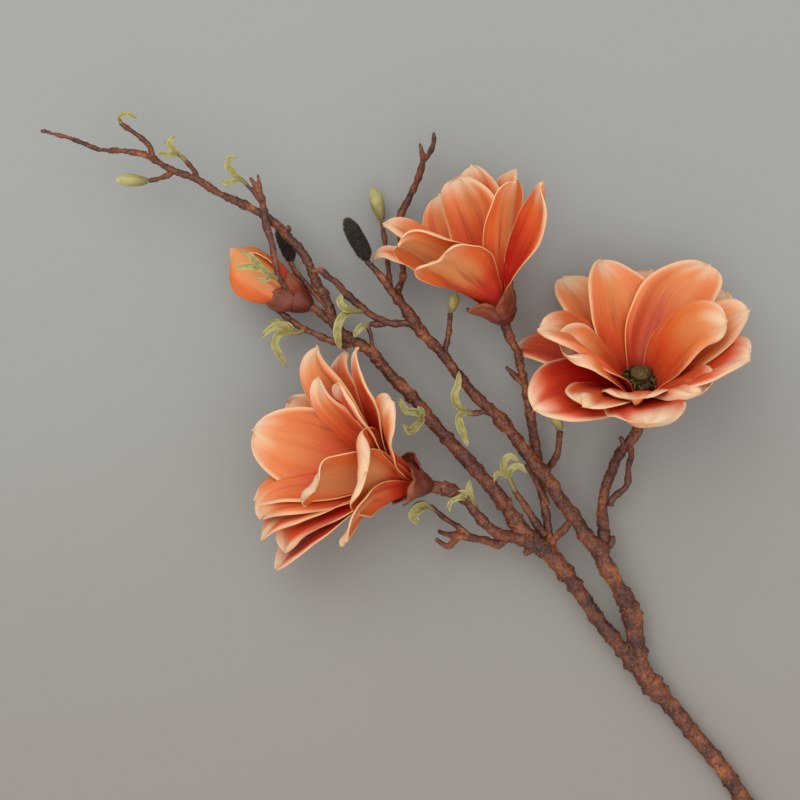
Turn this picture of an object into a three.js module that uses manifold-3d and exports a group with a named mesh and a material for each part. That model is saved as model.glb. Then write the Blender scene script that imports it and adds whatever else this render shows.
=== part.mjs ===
// A cut branch of saucer magnolia, lying on a flat surface: one forked woody branch, three open
// blooms, one closed bloom, four leaf buds, two catkins and twelve sprigs of young curled leaves.
// Millimetres, +Z up. Every route point is [x, y, z, radius]; x and y run across the surface.

import * as THREE from 'three';
import { mergeVertices } from 'three/addons/utils/BufferGeometryUtils.js';
import Module from 'manifold-3d';

const wasm = await Module();
wasm.setup();

// ---- driving dimensions --------------------------------------------------------------------

const ORIGIN = new THREE.Vector3(17.4, -63.1, 0); // bottom centre of the whole branch, in route points
const CLEARANCE = 0.35; // gap kept between pieces that touch
const PETAL_THICKNESS = 1.2;
const LEAF_THICKNESS = 1.1;
const CALYX_THICKNESS = 1.8;
const SURFACE_EASE = 5; // a petal bends to the flat from this far above to this far below the surface
const SURFACE_REST = 0.35; // height of a flattened petal's middle, so that its underside is trimmed flat
const TIP_CURL = 22; // degrees that the last quarter of a petal leans further out
const TIP_WIDTH = 0.16; // width of the blunt end of a petal, as a share of its widest
const IMBRICATE = 8; // degrees each petal is turned about its midrib, so that it laps its neighbour
const PETAL_ROWS = 4;
const PETAL_COLUMNS = [-1, -0.5, 0.5, 1];
const LOBE_ROWS = 3;
const LOBE_COLUMNS = [-1, 0, 1];
const CORE_RADIUS = 9; // the swelling that a bloom's petals grow from
const LIMB_SIDES = 6;
const TWIG_SIDES = 5;
const THICK_LIMB = 3.5; // radius from which a route gets LIMB_SIDES
const KNOT_SPACING = 19; // mean distance between the swollen leaf scars
const KNOT_SWELL = 0.24;
const BARK_ROUGHNESS = 0.07;

const COLOURS = {
  bark: 0x6b3a26,
  petal: 0xdd7a4c,
  calyx: 0x7a3822,
  centre: 0x4d3a1c,
  catkin: 0x332a26,
  leaf: 0xa8a062,
};

// ---- routes of the wood --------------------------------------------------------------------

const WOOD = {
  trunk: [[264, -308.5, 5, 5.2], [245, -288, 6, 5.2], [229, -267, 7, 5.1], [213, -243, 8, 5],
    [196, -223, 9.5, 5], [177, -200, 11, 5.4], [162, -183, 12, 6.6]],
  limbLow: [[170, -191, 11.5, 5.6], [162, -183, 12, 5.6], [143, -160, 14, 4.6], [130, -144, 15, 4.6],
    [118, -126, 18, 4.6], [100, -103, 22, 5.2], [87, -92, 24, 5.2], [76, -80, 25, 4.6],
    [64, -62, 27, 4.4], [50, -46, 28, 4.3], [38, -33, 29, 4.1], [27, -21, 29, 3.9], [17, -9, 29, 3.8],
    [6, 4, 29, 3.8], [-6, 16, 29, 3.7], [-20, 32, 29, 3.6], [-37, 43, 30, 3.5], [-44, 53, 31, 3.4],
    [-47, 64, 32, 3], [-55, 78, 33, 2.9], [-59, 88, 34, 2.8], [-65, 98, 35, 2.7], [-72, 105, 36, 2.7],
    [-78, 112, 36, 2.6], [-84, 117, 37, 2.7], [-90, 121, 37, 2.6], [-104, 128, 38, 2.4],
    [-117, 134, 38, 2.3], [-132, 143, 39, 2.3], [-150, 150, 39, 2.1], [-163, 158, 40, 2],
    [-178, 161, 41, 1.7], [-194, 162, 42, 1.5], [-207, 167, 43, 1.5], [-220, 171, 44, 1.3],
    [-232, 174, 45, 0.9]],
  limbHigh: [[166, -188, 12, 5.2], [162, -183, 12, 5.4], [156, -160, 14, 5], [152, -139, 15, 5.6],
    [143, -122, 18, 4.6], [134, -107, 21, 4.8], [130, -97, 23, 5.2], [124, -92, 24, 4.6],
    [115, -78, 26, 4.2], [104, -64, 28, 4.2], [98, -54, 29, 4.6], [85, -38, 30, 4], [74, -23, 31, 3.7],
    [64, -11, 31, 3.8], [56, -4, 31, 3.5], [43, 10, 31, 3.3], [35, 20, 31, 3.3], [27, 31, 31, 3.4],
    [17, 41, 31, 3.3], [9, 51, 31, 3.6], [3, 60, 31, 3], [-4, 69, 31, 2.8], [-12, 80, 31, 2.2],
    [-22, 91, 31, 1.5]],
  stalkRight: [[132, -98, 22, 4.4], [134, -93, 20, 3.6], [133, -74, 17, 3.2], [135, -59, 15, 3],
    [140, -46, 14.5, 3.3], [145, -35, 14.5, 3.1], [151, -28, 15.5, 3.2], [156, -20, 17, 3.4],
    [156, -9.5, 22, 3.8]],
  loopRight: [[138, -70, 16, 2.4], [140, -65, 16, 2.2], [149, -56, 19, 2], [150, -44, 20, 2],
    [152, -36, 19, 2], [151, -30, 17, 2]],
  spurRightUpper: [[148, -32, 16, 2.2], [145, -24, 17, 1.5]],
  spurRightLower: [[133, -96, 21, 2.6], [138, -95, 21, 2.4], [140, -89, 22, 1.6]],
  stalkTop: [[102, -105, 21, 3.4], [99, -97, 21, 3.2], [97, -82, 20, 2.7], [95, -70, 19, 2.6],
    [93, -57, 18, 2.6], [92, -44, 18, 2.7], [89, -30, 19, 2.7], [87, -19, 20, 2.9], [85, -6, 21, 2.6],
    [82, 9, 23, 2.5], [79, 21, 24, 2.5], [77, 31, 26, 2.6], [72, 40, 28, 2.8], [68, 51, 31, 3.6]],
  spurTop: [[81, 10, 23, 1.9], [76, 15, 24, 1.8], [69, 22, 26, 1.2]],
  twigMiddle: [[96, -49, 18, 2], [99, -43, 19, 2], [103, -36, 22, 2], [104, -28, 23, 1.9],
    [105, -20, 24, 1.8]],
  bridge: [[112, -78, 26, 2.6], [108, -84, 25, 2.2], [104, -88, 23, 2.1], [99, -94, 22, 2.2]],
  twigInner: [[97, -69, 19, 2], [92, -59, 21, 2.1], [88, -50, 23, 2], [82, -42, 26, 1.5]],
  stalkLeft: [[88, -96, 24, 4], [82, -92, 26, 3.8], [72, -89, 29, 3.6], [64, -87, 32, 3.5],
    [56, -81, 35, 3.3], [49, -73, 37, 3.1], [43, -65, 40, 3.1], [34, -59, 42, 3.6], [26, -57, 42.5, 4.2],
    [19.5, -55.9, 41, 4.4]],
  twigLow: [[71, -90, 27, 2.8], [64, -94, 25, 2.7], [56, -92, 24, 2.6], [44, -90, 23, 2.4],
    [37, -89, 23, 2.4], [31, -88, 23, 1.8], [25, -86, 24, 1.1]],
  twigLowHook: [[39, -90, 23, 2], [35, -93, 22, 2], [32, -96, 21, 1.9], [27, -94, 20, 1.6],
    [23, -91, 20, 0.9]],
  twigLowThin: [[46, -89, 23, 2], [41, -85, 23, 1.7], [35, -81, 23, 1.7], [30, -78, 23, 1.7],
    [24, -73, 23, 1.5], [20, -69, 24, 1.2]],
  spurLow: [[89, -94, 24, 2.6], [85, -98, 24, 2.5], [81, -101, 25, 1.8]],
  twigTopBud: [[-3, 68, 31, 1.8], [-6, 74, 28, 1.7], [-8, 90, 18, 1.6], [-10, 105, 13, 1.5],
    [-12, 118, 12, 1.5]],
  twigFork: [[1, 65, 31, 2.2], [-1, 71, 27, 2], [2, 81, 20, 2], [1, 98, 13, 2], [0, 120, 11, 2.2],
    [6, 133, 14, 2.2], [12, 146, 19, 2], [15, 157, 24, 1.9], [14, 163, 26, 1.4], [13, 168, 27, 0.9]],
  twigForkTip: [[14, 155, 23, 1.6], [19, 161, 25, 1.6], [22, 168, 27, 1.5], [22, 175, 28, 0.9]],
  twigAcross: [[8, 50, 31, 2.8], [1, 50, 31, 2.4], [-6, 50, 31, 2.3], [-18, 55, 32, 2.3],
    [-27, 62, 33, 2.2], [-36, 70, 35, 2.1], [-42, 77, 37, 2], [-47, 80, 39, 2], [-51, 84, 40, 2],
    [-58, 83, 40, 1.3]],
  spurAcross: [[-8, 50, 31, 1.9], [-14, 49, 31, 1.7], [-20, 50, 31, 1.2]],
  twigLeafMiddle: [[-10, 22, 29, 1.6], [-14, 29, 30, 1.4], [-18, 35, 31, 1.3], [-19, 42, 32, 1.3],
    [-21, 48, 32, 1.4]],
  twigMiddleBud: [[29, 29, 31, 2], [30, 35, 30, 1.7], [32, 45, 29, 1.7], [33, 57, 28, 1.8]],
  twigCross: [[-72, 70, 45, 1.2], [-75, 74, 46, 1.6], [-78, 79, 47, 1.9], [-80, 87, 46, 2],
    [-83, 102, 44, 2.1], [-87, 115, 41, 2.3], [-89, 128, 40, 2.1], [-92, 136, 40, 1.8],
    [-97, 144, 40, 0.9]],
  twigCrossTip: [[-90, 131, 40, 1.6], [-91, 139, 41, 1.3], [-92, 146, 42, 0.8]],
  twigLeafHigh: [[-88, 126, 40, 1.6], [-93, 132, 40, 1.3], [-97, 137, 40, 1.2], [-100, 140, 40, 1.2]],
  stalkCatkin: [[-46, 59, 31, 2.2], [-51, 65, 30, 1.9], [-57, 71, 28, 1.8], [-63, 78, 25, 1.7],
    [-69, 85, 20.5, 1.6], [-72, 91, 19, 1.6]],
  stalkBud: [[-43, 50, 31, 2.6], [-48, 53, 30.5, 2.3], [-53, 57.5, 29, 2.4], [-58.6, 61.4, 27.8, 3]],
  twigUnder: [[-30, 37.5, 30, 2.4], [-35, 36, 30, 2.4], [-40, 37, 29, 2.2], [-46, 39, 28, 2.1],
    [-55, 43, 26, 2], [-67, 49, 24, 1.9], [-79, 58, 23, 1.8], [-88, 66, 23, 1.5], [-94, 71, 24, 1]],
  nubHigh: [[-75, 109, 36, 1.8], [-72, 112, 37, 1.6], [-71, 109, 38, 1]],
  twigTip: [[-160, 157, 40, 1.7], [-162, 164, 41, 1.6], [-168, 170, 42, 1.5], [-175, 175, 43, 1.4],
    [-181, 179, 44, 1.3]],
  stalkTipBud: [[-146, 148, 39, 1.6], [-152, 145, 39, 1.5], [-158, 143, 39, 1.5], [-163, 142, 39, 1.6]],
  twigLeafFar: [[-130, 141, 39, 1.7], [-133, 148, 40, 1.5], [-137, 153, 41, 1.4], [-139, 155, 41, 1.3]],
  stubLeafLeft: [[24, -18, 29, 1.8], [20, -16, 31, 1.5], [16, -13, 32, 1.4]],
  twigLeafLimb: [[58, -7, 31, 2.2], [52, -8, 32, 1.9], [46, -9, 33, 1.6]],
  twigLeafLow: [[95, -89, 23, 2.8], [88, -79, 25, 2.4], [83, -71, 27, 2.3], [78, -64, 29, 2],
    [74, -58, 30, 1.7]],
};

// ---- solids from meshes and back -----------------------------------------------------------

function solidOf(geometry) {
  const bare = geometry.clone();
  bare.deleteAttribute('normal');
  if (bare.attributes.uv) bare.deleteAttribute('uv');
  const merged = mergeVertices(bare, 1e-4);
  return new wasm.Manifold(new wasm.Mesh({
    numProp: 3,
    vertProperties: new Float32Array(merged.attributes.position.array),
    triVerts: new Uint32Array(merged.index.array),
  }));
}

function signedVolume(positions, triangles) {
  const [a, b, c] = [new THREE.Vector3(), new THREE.Vector3(), new THREE.Vector3()];
  let volume = 0;
  for (let i = 0; i < triangles.length; i += 3) {
    a.fromArray(positions, 3 * triangles[i]);
    b.fromArray(positions, 3 * triangles[i + 1]);
    c.fromArray(positions, 3 * triangles[i + 2]);
    volume += a.dot(b.cross(c)) / 6;
  }
  return volume;
}

// The largest outer skin of a solid: loose scraps are dropped and sealed hollows are filled.
function largestSkin(solid) {
  const mesh = solid.getMesh();
  const parent = Int32Array.from({ length: mesh.numVert }, (_, i) => i);
  const root = (i) => {
    let r = i;
    while (parent[r] !== r) r = parent[r];
    while (parent[i] !== r) [parent[i], i] = [r, parent[i]];
    return r;
  };
  for (let k = 0; k < mesh.mergeFromVert.length; k++) {
    parent[root(mesh.mergeFromVert[k])] = root(mesh.mergeToVert[k]);
  }
  for (let i = 0; i < mesh.triVerts.length; i += 3) {
    parent[root(mesh.triVerts[i])] = root(mesh.triVerts[i + 1]);
    parent[root(mesh.triVerts[i + 1])] = root(mesh.triVerts[i + 2]);
  }
  const skins = new Map();
  for (let i = 0; i < mesh.triVerts.length; i += 3) {
    const key = root(mesh.triVerts[i]);
    if (!skins.has(key)) skins.set(key, []);
    skins.get(key).push(mesh.triVerts[i], mesh.triVerts[i + 1], mesh.triVerts[i + 2]);
  }
  const positions = mesh.vertProperties;
  let best = null;
  let most = 0;
  for (const triangles of skins.values()) {
    const volume = signedVolume(positions, triangles);
    if (volume > most) [best, most] = [triangles, volume];
  }
  const geometry = new THREE.BufferGeometry();
  geometry.setAttribute('position', new THREE.BufferAttribute(new Float32Array(positions), 3));
  geometry.setIndex(best);
  const used = mergeVertices(geometry.toNonIndexed(), 1e-5);
  used.computeVertexNormals();
  return used;
}

const union = (solids) => wasm.Manifold.union(solids);

function seededRandom(seed) {
  let state = seed >>> 0;
  return () => {
    state = (Math.imul(state, 1664525) + 1013904223) >>> 0;
    return state / 4294967296;
  };
}

// ---- round tapered bodies along a route ----------------------------------------------------

// A closed tube whose rings follow a smooth curve through the route; each ring has the route's
// radius there, with the bark's unevenness and a swelling at every leaf scar.
function limb(route, { sides, step = 14, rough = 0, swell = 0, seed = 1, extra = 0 } = {}) {
  const points = route.map(([x, y, z]) => new THREE.Vector3(x, y, z));
  const curve = new THREE.CatmullRomCurve3(points, false, 'centripetal');
  const random = seededRandom(seed);
  const stations = [];
  for (let i = 0; i < route.length - 1; i++) {
    const parts = Math.max(1, Math.round(points[i].distanceTo(points[i + 1]) / step));
    for (let k = 0; k < parts; k++) stations.push((i + k / parts) / (route.length - 1));
  }
  stations.push(1);
  const rings = stations.length - 1;
  const around = sides ?? (Math.max(...route.map((p) => p[3])) > THICK_LIMB ? LIMB_SIDES : TWIG_SIDES);
  const body = new THREE.CylinderGeometry(1, 1, 1, around, rings).toNonIndexed();
  body.deleteAttribute('normal');
  body.deleteAttribute('uv');
  const geometry = mergeVertices(body, 1e-5);

  let normal = new THREE.Vector3(0, 0, 1);
  let distance = 0;
  let nextKnot = KNOT_SPACING * (0.4 + 0.6 * random());
  const frames = stations.map((t, i) => {
    const centre = curve.getPoint(t);
    const tangent = curve.getTangent(t);
    normal = normal.clone().addScaledVector(tangent, -normal.dot(tangent)).normalize();
    const side = tangent.clone().cross(normal);
    const span = t * (route.length - 1);
    const from = Math.min(Math.floor(span), route.length - 2);
    let radius = THREE.MathUtils.lerp(route[from][3], route[from + 1][3], span - from);
    if (i > 0) distance += centre.distanceTo(curve.getPoint(stations[i - 1]));
    if (distance > nextKnot && i < rings) {
      radius *= 1 + swell;
      nextKnot = distance + KNOT_SPACING * (0.7 + 0.6 * random());
    }
    return { centre, normal, side, radius, bumps: Array.from({ length: around }, () => random() - 0.5) };
  });
  const position = geometry.attributes.position;
  for (let v = 0; v < position.count; v++) {
    const [x, y, z] = [position.getX(v), position.getY(v), position.getZ(v)];
    const frame = frames[Math.round((y + 0.5) * rings)];
    const corner = (Math.round((Math.atan2(x, z) / (2 * Math.PI)) * around) + around) % around;
    const radius = frame.radius * (1 + 2 * rough * frame.bumps[corner]) + extra;
    const place = frame.centre.clone()
      .addScaledVector(frame.side, x * radius)
      .addScaledVector(frame.normal, z * radius);
    position.setXYZ(v, place.x, place.y, place.z);
  }
  return solidOf(geometry);
}

function wood(extra = 0) {
  return union(Object.values(WOOD).map((route, i) =>
    limb(route, { rough: BARK_ROUGHNESS, swell: KNOT_SWELL, seed: 11 + i, extra })));
}

// ---- thin curved blades --------------------------------------------------------------------

// A closed blade of even thickness round the middle surface place(s, t), with the same triangles
// on both faces.
function blade(place, rows, columns, thickness) {
  const grid = [];
  const nudge = 0.01;
  for (let i = 0; i <= rows; i++) {
    for (const t of columns) {
      const s = i / rows;
      const centre = place(s, t);
      const along = place(Math.min(s + nudge, 1), t).sub(place(Math.max(s - nudge, 0), t));
      const across = place(s, Math.min(t + nudge, 1)).sub(place(s, Math.max(t - nudge, -1)));
      const normal = along.cross(across).normalize();
      grid.push({ centre, normal });
    }
  }
  const count = columns.length;
  const vertices = [];
  for (const sign of [1, -1]) {
    for (const { centre, normal } of grid) {
      const p = centre.clone().addScaledVector(normal, (sign * thickness) / 2);
      vertices.push(p.x, p.y, p.z);
    }
  }
  const triangles = [];
  const lower = grid.length;
  const quad = (a, b, c, d) => triangles.push(a, b, c, a, c, d);
  for (let i = 0; i < rows; i++) {
    for (let j = 0; j < count - 1; j++) {
      const [a, b, c, d] = [i * count + j, (i + 1) * count + j, (i + 1) * count + j + 1, i * count + j + 1];
      triangles.push(a, b, c, a, c, d);
      triangles.push(lower + a, lower + c, lower + b, lower + a, lower + d, lower + c);
    }
  }
  for (let i = 0; i < rows; i++) {
    const [a, b] = [i * count, (i + 1) * count];
    quad(lower + a, lower + b, b, a);
    const [c, d] = [a + count - 1, b + count - 1];
    quad(c, d, lower + d, lower + c);
  }
  for (let j = 0; j < count - 1; j++) {
    quad(lower + j + 1, lower + j, j, j + 1);
    const end = rows * count + j;
    quad(end + 1, end, lower + end, lower + end + 1);
  }
  if (signedVolume(vertices, triangles) < 0) {
    for (let i = 0; i < triangles.length; i += 3) {
      [triangles[i + 1], triangles[i + 2]] = [triangles[i + 2], triangles[i + 1]];
    }
  }
  const geometry = new THREE.BufferGeometry();
  geometry.setAttribute('position', new THREE.BufferAttribute(new Float32Array(vertices), 3));
  geometry.setIndex(triangles);
  return solidOf(geometry);
}

// ---- petals --------------------------------------------------------------------------------

const degrees = THREE.MathUtils.degToRad;

// The bloom's own directions: its axis, the direction of turn 0 (the side that looks up) and of
// turn 90.
function bloomFrame({ base, axis }) {
  const along = new THREE.Vector3(...axis).normalize();
  const zero = new THREE.Vector3(0, 0, 1);
  zero.addScaledVector(along, -zero.dot(along)).normalize();
  return { base: new THREE.Vector3(...base), along, zero, quarter: along.clone().cross(zero) };
}

// The middle line of a petal, as points with a direction and an inward normal at each. The lean
// away from the bloom's axis grows from the root to `open`, and `curl` and `tip` are added to its end.
function midrib(frame, petal, steps = 28) {
  const { turn, open = 0, length, curl = 0, sway = 0, face = IMBRICATE, twist = 0 } = petal;
  const { root = 5, drop = 0, belly = 0, tip = TIP_CURL } = petal;
  const radial = frame.zero.clone().multiplyScalar(Math.cos(degrees(turn)))
    .addScaledVector(frame.quarter, Math.sin(degrees(turn)));
  const side = frame.along.clone().cross(radial);
  const leans = (petal.leans ?? [0.35 * open - belly, 0.95 * open + belly, open, open + curl]).map(degrees);
  const centre = frame.base.clone().addScaledVector(radial, root).addScaledVector(frame.along, -drop);
  const stations = [];
  for (let i = 0; i <= steps; i++) {
    const s = i / steps;
    const r = 1 - s;
    const lean = leans[0] * r ** 3 + 3 * leans[1] * r * r * s + 3 * leans[2] * r * s * s + leans[3] * s ** 3
      + degrees(tip) * THREE.MathUtils.smoothstep(s, 0.76, 1);
    const out = radial.clone().multiplyScalar(Math.sin(lean)).addScaledVector(frame.along, Math.cos(lean));
    const inward = radial.clone().multiplyScalar(-Math.cos(lean))
      .addScaledVector(frame.along, Math.sin(lean));
    const bend = degrees(sway) * s;
    const direction = out.clone().multiplyScalar(Math.cos(bend)).addScaledVector(side, Math.sin(bend));
    const across = side.clone().multiplyScalar(Math.cos(bend)).addScaledVector(out, -Math.sin(bend));
    const turnBy = degrees(face * Math.min(1, 4 * s) + twist * s);
    stations.push({
      centre: centre.clone(),
      across: across.clone().multiplyScalar(Math.cos(turnBy)).addScaledVector(inward, Math.sin(turnBy)),
      inward: inward.clone().multiplyScalar(Math.cos(turnBy)).addScaledVector(across, -Math.sin(turnBy)),
    });
    centre.addScaledVector(direction, length / steps);
  }
  return stations;
}

// Half the width at s, as a share of the widest: a narrow claw, widest past the middle, then a
// round tip with a small point.
function petalOutline(s, claw = 0.12, widest = 0.58, point = 0.6) {
  if (s < widest) return claw + (1 - claw) * Math.sin((Math.PI / 2) * (s / widest)) ** 2.2;
  return Math.max(TIP_WIDTH, (1 - ((s - widest) / (1 - widest)) ** 2.3) ** point);
}

// A petal that would sink into the surface bends smoothly to lie flat on it.
function settle(point) {
  const high = point.z - SURFACE_REST;
  if (high < -SURFACE_EASE) point.z = SURFACE_REST;
  else if (high < SURFACE_EASE) point.z = SURFACE_REST + (high + SURFACE_EASE) ** 2 / (4 * SURFACE_EASE);
  return point;
}

function petalSurface(frame, petal, grow = 0) {
  const { width, length, cup = 42, roll = 46, ruffle = 1.2, claw, widest, point } = petal;
  const longer = { ...petal, length: length + grow };
  const stations = midrib(frame, longer);
  const last = stations.length - 1;
  const phase = petal.turn * 0.37;
  return (s, t) => {
    const at = Math.min(s, 1) * last;
    const i = Math.min(Math.floor(at), last - 1);
    const f = at - i;
    const centre = stations[i].centre.clone().lerp(stations[i + 1].centre, f);
    const across = stations[i].across.clone().lerp(stations[i + 1].across, f).normalize();
    const inward = stations[i].inward.clone().lerp(stations[i + 1].inward, f).normalize();
    const half = (width / 2) * petalOutline(s, claw, widest, point) + grow;
    const depth = degrees(cup) * (1.15 - 0.45 * s);
    const recurve = degrees(roll) * s * s;
    const pieces = 6;
    const edge = Math.abs(t);
    let [x, y] = [0, 0];
    for (let k = 0; k < pieces; k++) {
      const u = (edge * (k + 0.5)) / pieces;
      const bend = depth * u - recurve * Math.max(0, (u - 0.5) / 0.5) ** 2 * 2;
      x += (Math.cos(bend) * edge) / pieces;
      y += (Math.sin(bend) * edge) / pieces;
    }
    const wave = ruffle * edge ** 2 * s * Math.sin(2 * Math.PI * (1.4 * s + 0.25 * Math.sign(t)) + phase);
    return settle(centre.addScaledVector(across, Math.sign(t) * x * half)
      .addScaledVector(inward, y * half + wave));
  };
}

const petalSolid = (frame, petal, grow = 0, thickness = PETAL_THICKNESS) =>
  blade(petalSurface(frame, petal, grow), PETAL_ROWS, PETAL_COLUMNS, thickness + 2 * grow);

// ---- blooms --------------------------------------------------------------------------------

// Every petal is given by its turn round the bloom's axis, how far it opens away from it and its
// size; outer petals come first. Belly bows it outwards, curl, sway and twist bend its tip back,
// sideways and round, and face turns the whole blade about its midrib.
const BLOOMS = {
  left: {
    base: [8, -53, 47],
    axis: [-0.879, 0.219, 0.423],
    stamens: 5,
    cupDepth: 14,
    lobes: [
      { turn: 350, open: 42, length: 25, width: 27, roll: 0, tip: 0, root: 10.4, drop: 4, cup: 58,
        belly: 8 },
      { turn: 110, open: 46, length: 24, width: 26, roll: 0, tip: 0, root: 10.4, drop: 4, cup: 58,
        belly: 8 },
      { turn: 230, open: 46, length: 24, width: 26, roll: 0, tip: 0, root: 10.4, drop: 4, cup: 58,
        belly: 8 },
    ],
    petals: [
      { turn: 180, open: 78, length: 93, width: 50, curl: 4 },
      { turn: 212, open: 58, length: 94, width: 46, curl: 6 },
      { turn: 154, open: 47, length: 98, width: 46, curl: -6 },
      { turn: 171, open: 27, length: 108, width: 56, curl: -8, cup: 34, roll: 0, tip: 30, widest: 0.6,
        point: 0.5 },
      { turn: 218, open: 34, length: 106, width: 44, curl: 4, tip: 50 },
      { turn: 236, open: 26, length: 108, width: 34, curl: 10, face: -20, tip: 75 },
      { turn: 234, open: 39, length: 108, width: 42, curl: 6, tip: 60 },
      { turn: 243, open: 42, length: 102, width: 34, curl: 12, face: -16, tip: 70 },
      { turn: 236, open: 63, length: 106, width: 46, curl: 6, tip: 24 },
      { turn: 116, open: 42, length: 108, width: 36, curl: 14, face: 10, tip: 60 },
      { turn: 111, open: 53, length: 99, width: 28, curl: 10, face: 10, tip: 70 },
      { turn: 82, open: 56, length: 100, width: 30, curl: -10, belly: 26, face: -20, tip: 40 },
      { turn: 122, open: 51, length: 80, width: 30, curl: 0, tip: 45 },
      { turn: 66, open: 39, length: 84, width: 40, curl: 8, face: 6 },
      { turn: 51, open: 50, length: 84, width: 34, curl: 24, face: 10, tip: 60 },
      { turn: 302, open: 5, length: 84, width: 50, curl: 30, belly: 8, tip: 110, cup: 38, point: 0.42 },
      { turn: 2, open: 28, length: 72, width: 52, curl: 34, belly: 6, face: -6, tip: 120, cup: 40,
        point: 0.42 },
      { turn: 320, open: 45, length: 92, width: 36, curl: 16, belly: 6, tip: 50 },
    ],
  },
  top: {
    base: [66, 58, 35],
    axis: [-0.453, 0.853, 0.259],
    stamens: 5,
    cupDepth: 9.4,
    lobes: [
      { turn: 50, open: 26, length: 26, width: 28, roll: 0, tip: 0, root: 10.4, drop: 4, cup: 58,
        belly: 8 },
      { turn: 170, open: 30, length: 24, width: 26, roll: 0, tip: 0, root: 10.4, drop: 4, cup: 58,
        belly: 8 },
      { turn: 290, open: 54, length: 30, width: 22, roll: 0, tip: 0, root: 10.4, drop: 4, cup: 58,
        belly: 8 },
    ],
    petals: [
      { turn: 168, open: 56, length: 90, width: 44, curl: 4 },
      { turn: 185, open: 36, length: 94, width: 44, curl: 2 },
      { turn: 240, open: 26, length: 96, width: 38, curl: 12, tip: 40 },
      { turn: 244, open: 43, length: 92, width: 22, curl: 10, belly: 14, face: -50, tip: 60 },
      { turn: 141, open: 28, length: 98, width: 44, curl: 0 },
      { turn: 73, open: 50, length: 94, width: 34, curl: -16, belly: 10, sway: -14, face: 20, tip: 10,
        widest: 0.62 },
      { turn: 113, open: 37, length: 94, width: 28, curl: 10, face: 10, tip: 40 },
      { turn: 134, open: 15, length: 88, width: 46, curl: 0, cup: 40, tip: 8, widest: 0.66,
        point: 0.45 },
      { turn: 300, open: 31, length: 86, width: 40, curl: 8, face: 30, cup: 44, tip: 30, widest: 0.66,
        point: 0.42 },
      { turn: 67, open: 31, length: 88, width: 38, curl: 8, face: -24, cup: 50, tip: 14, widest: 0.66,
        point: 0.5 },
      { turn: 338, open: 39, length: 78, width: 44, curl: 4, cup: 46, tip: 24, widest: 0.7, point: 0.4 },
    ],
  },
  right: {
    base: [155, -2, 30],
    axis: [0, 0.72, 0.69],
    stamens: 14,
    cupDepth: 11,
    lobes: [
      { turn: 0, open: 50, length: 22, width: 26, roll: 0, tip: 0, root: 10.4, drop: 4, cup: 58,
        belly: 8 },
      { turn: 120, open: 56, length: 22, width: 26, roll: 0, tip: 0, root: 10.4, drop: 4, cup: 58,
        belly: 8 },
      { turn: 240, open: 56, length: 22, width: 26, roll: 0, tip: 0, root: 10.4, drop: 4, cup: 58,
        belly: 8 },
    ],
    petals: [
      { turn: 303, open: 71, length: 98, width: 52, curl: 10, face: -10, tip: 30 },
      { turn: 238, open: 97, length: 94, width: 46, curl: 10, tip: 30 },
      { turn: 209, open: 70, length: 98, width: 48, curl: 6 },
      { turn: 172, open: 77, length: 98, width: 48, curl: 4 },
      { turn: 136, open: 75, length: 98, width: 46, curl: 8 },
      { turn: 96, open: 44, length: 98, width: 44, curl: 12, tip: 34 },
      { turn: 62, open: 49, length: 92, width: 54, curl: 8, face: 4, tip: 24 },
      { turn: 350, open: 51, length: 92, width: 50, curl: 24, tip: 60 },
      { turn: 268, open: 44, length: 100, width: 48, curl: 12, tip: 50 },
      { turn: 196, open: 50, length: 92, width: 56, curl: 6, cup: 38, roll: 16, point: 0.5 },
      { turn: 148, open: 50, length: 97, width: 56, curl: 6, cup: 38, roll: 16, point: 0.48 },
      { turn: 89, open: 25, length: 95, width: 46, curl: 18, face: 14, tip: 34 },
      { turn: 293, open: 34, length: 88, width: 42, curl: 24, tip: 60 },
      { turn: 36, open: 38, length: 88, width: 46, curl: 24, tip: 60 },
      { turn: 2, open: 37, length: 82, width: 44, curl: 26, tip: 60 },
      { turn: 338, open: 38, length: 82, width: 42, curl: 26, tip: 60 },
      { turn: 317, open: 50, length: 90, width: 44, curl: 22, tip: 55 },
    ],
  },
  bud: {
    base: [-70, 68, 27],
    axis: [-0.85, 0.5, -0.04],
    stamens: 0,
    cupDepth: 14,
    lobes: [
      { turn: 60, leans: [26, 18, 8, -2], length: 15, width: 27, roll: 0, tip: 0, root: 10.4, drop: 4,
        cup: 58 },
      { turn: 180, leans: [26, 18, 8, -2], length: 16, width: 28, roll: 0, tip: 0, root: 10.4, drop: 4,
        cup: 58 },
      { turn: 300, leans: [26, 18, 8, -2], length: 19, width: 28, roll: 0, tip: 0, root: 10.4, drop: 4,
        cup: 58 },
    ],
    petals: [
      { turn: 250, leans: [40, 14, -20, -52], length: 55, width: 46, cup: 92, roll: 0, root: 4, tip: 0,
        widest: 0.45, point: 0.5 },
      { turn: 130, leans: [40, 14, -20, -48], length: 56, width: 46, cup: 92, roll: 0, root: 4, tip: 0,
        widest: 0.45, point: 0.5 },
      { turn: 10, leans: [40, 16, -18, -42], length: 56, width: 48, cup: 88, roll: 0, root: 5, tip: 0,
        widest: 0.45, point: 0.45 },
    ],
  },
};

const ball = (centre, radius) =>
  solidOf(new THREE.SphereGeometry(radius, 8, 6).translate(centre.x, centre.y, centre.z));

function bloomPetals(bloom) {
  const frame = bloomFrame(bloom);
  return union([ball(frame.base, CORE_RADIUS), ...bloom.petals.map((petal) => petalSolid(frame, petal))]);
}

// A point given by its height along the bloom's axis, its distance from it and its turn.
function bloomPoint(frame, height, distance = 0, turn = 0) {
  return frame.base.clone().addScaledVector(frame.along, height)
    .addScaledVector(frame.zero, distance * Math.cos(degrees(turn)))
    .addScaledVector(frame.quarter, distance * Math.sin(degrees(turn)));
}

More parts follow.
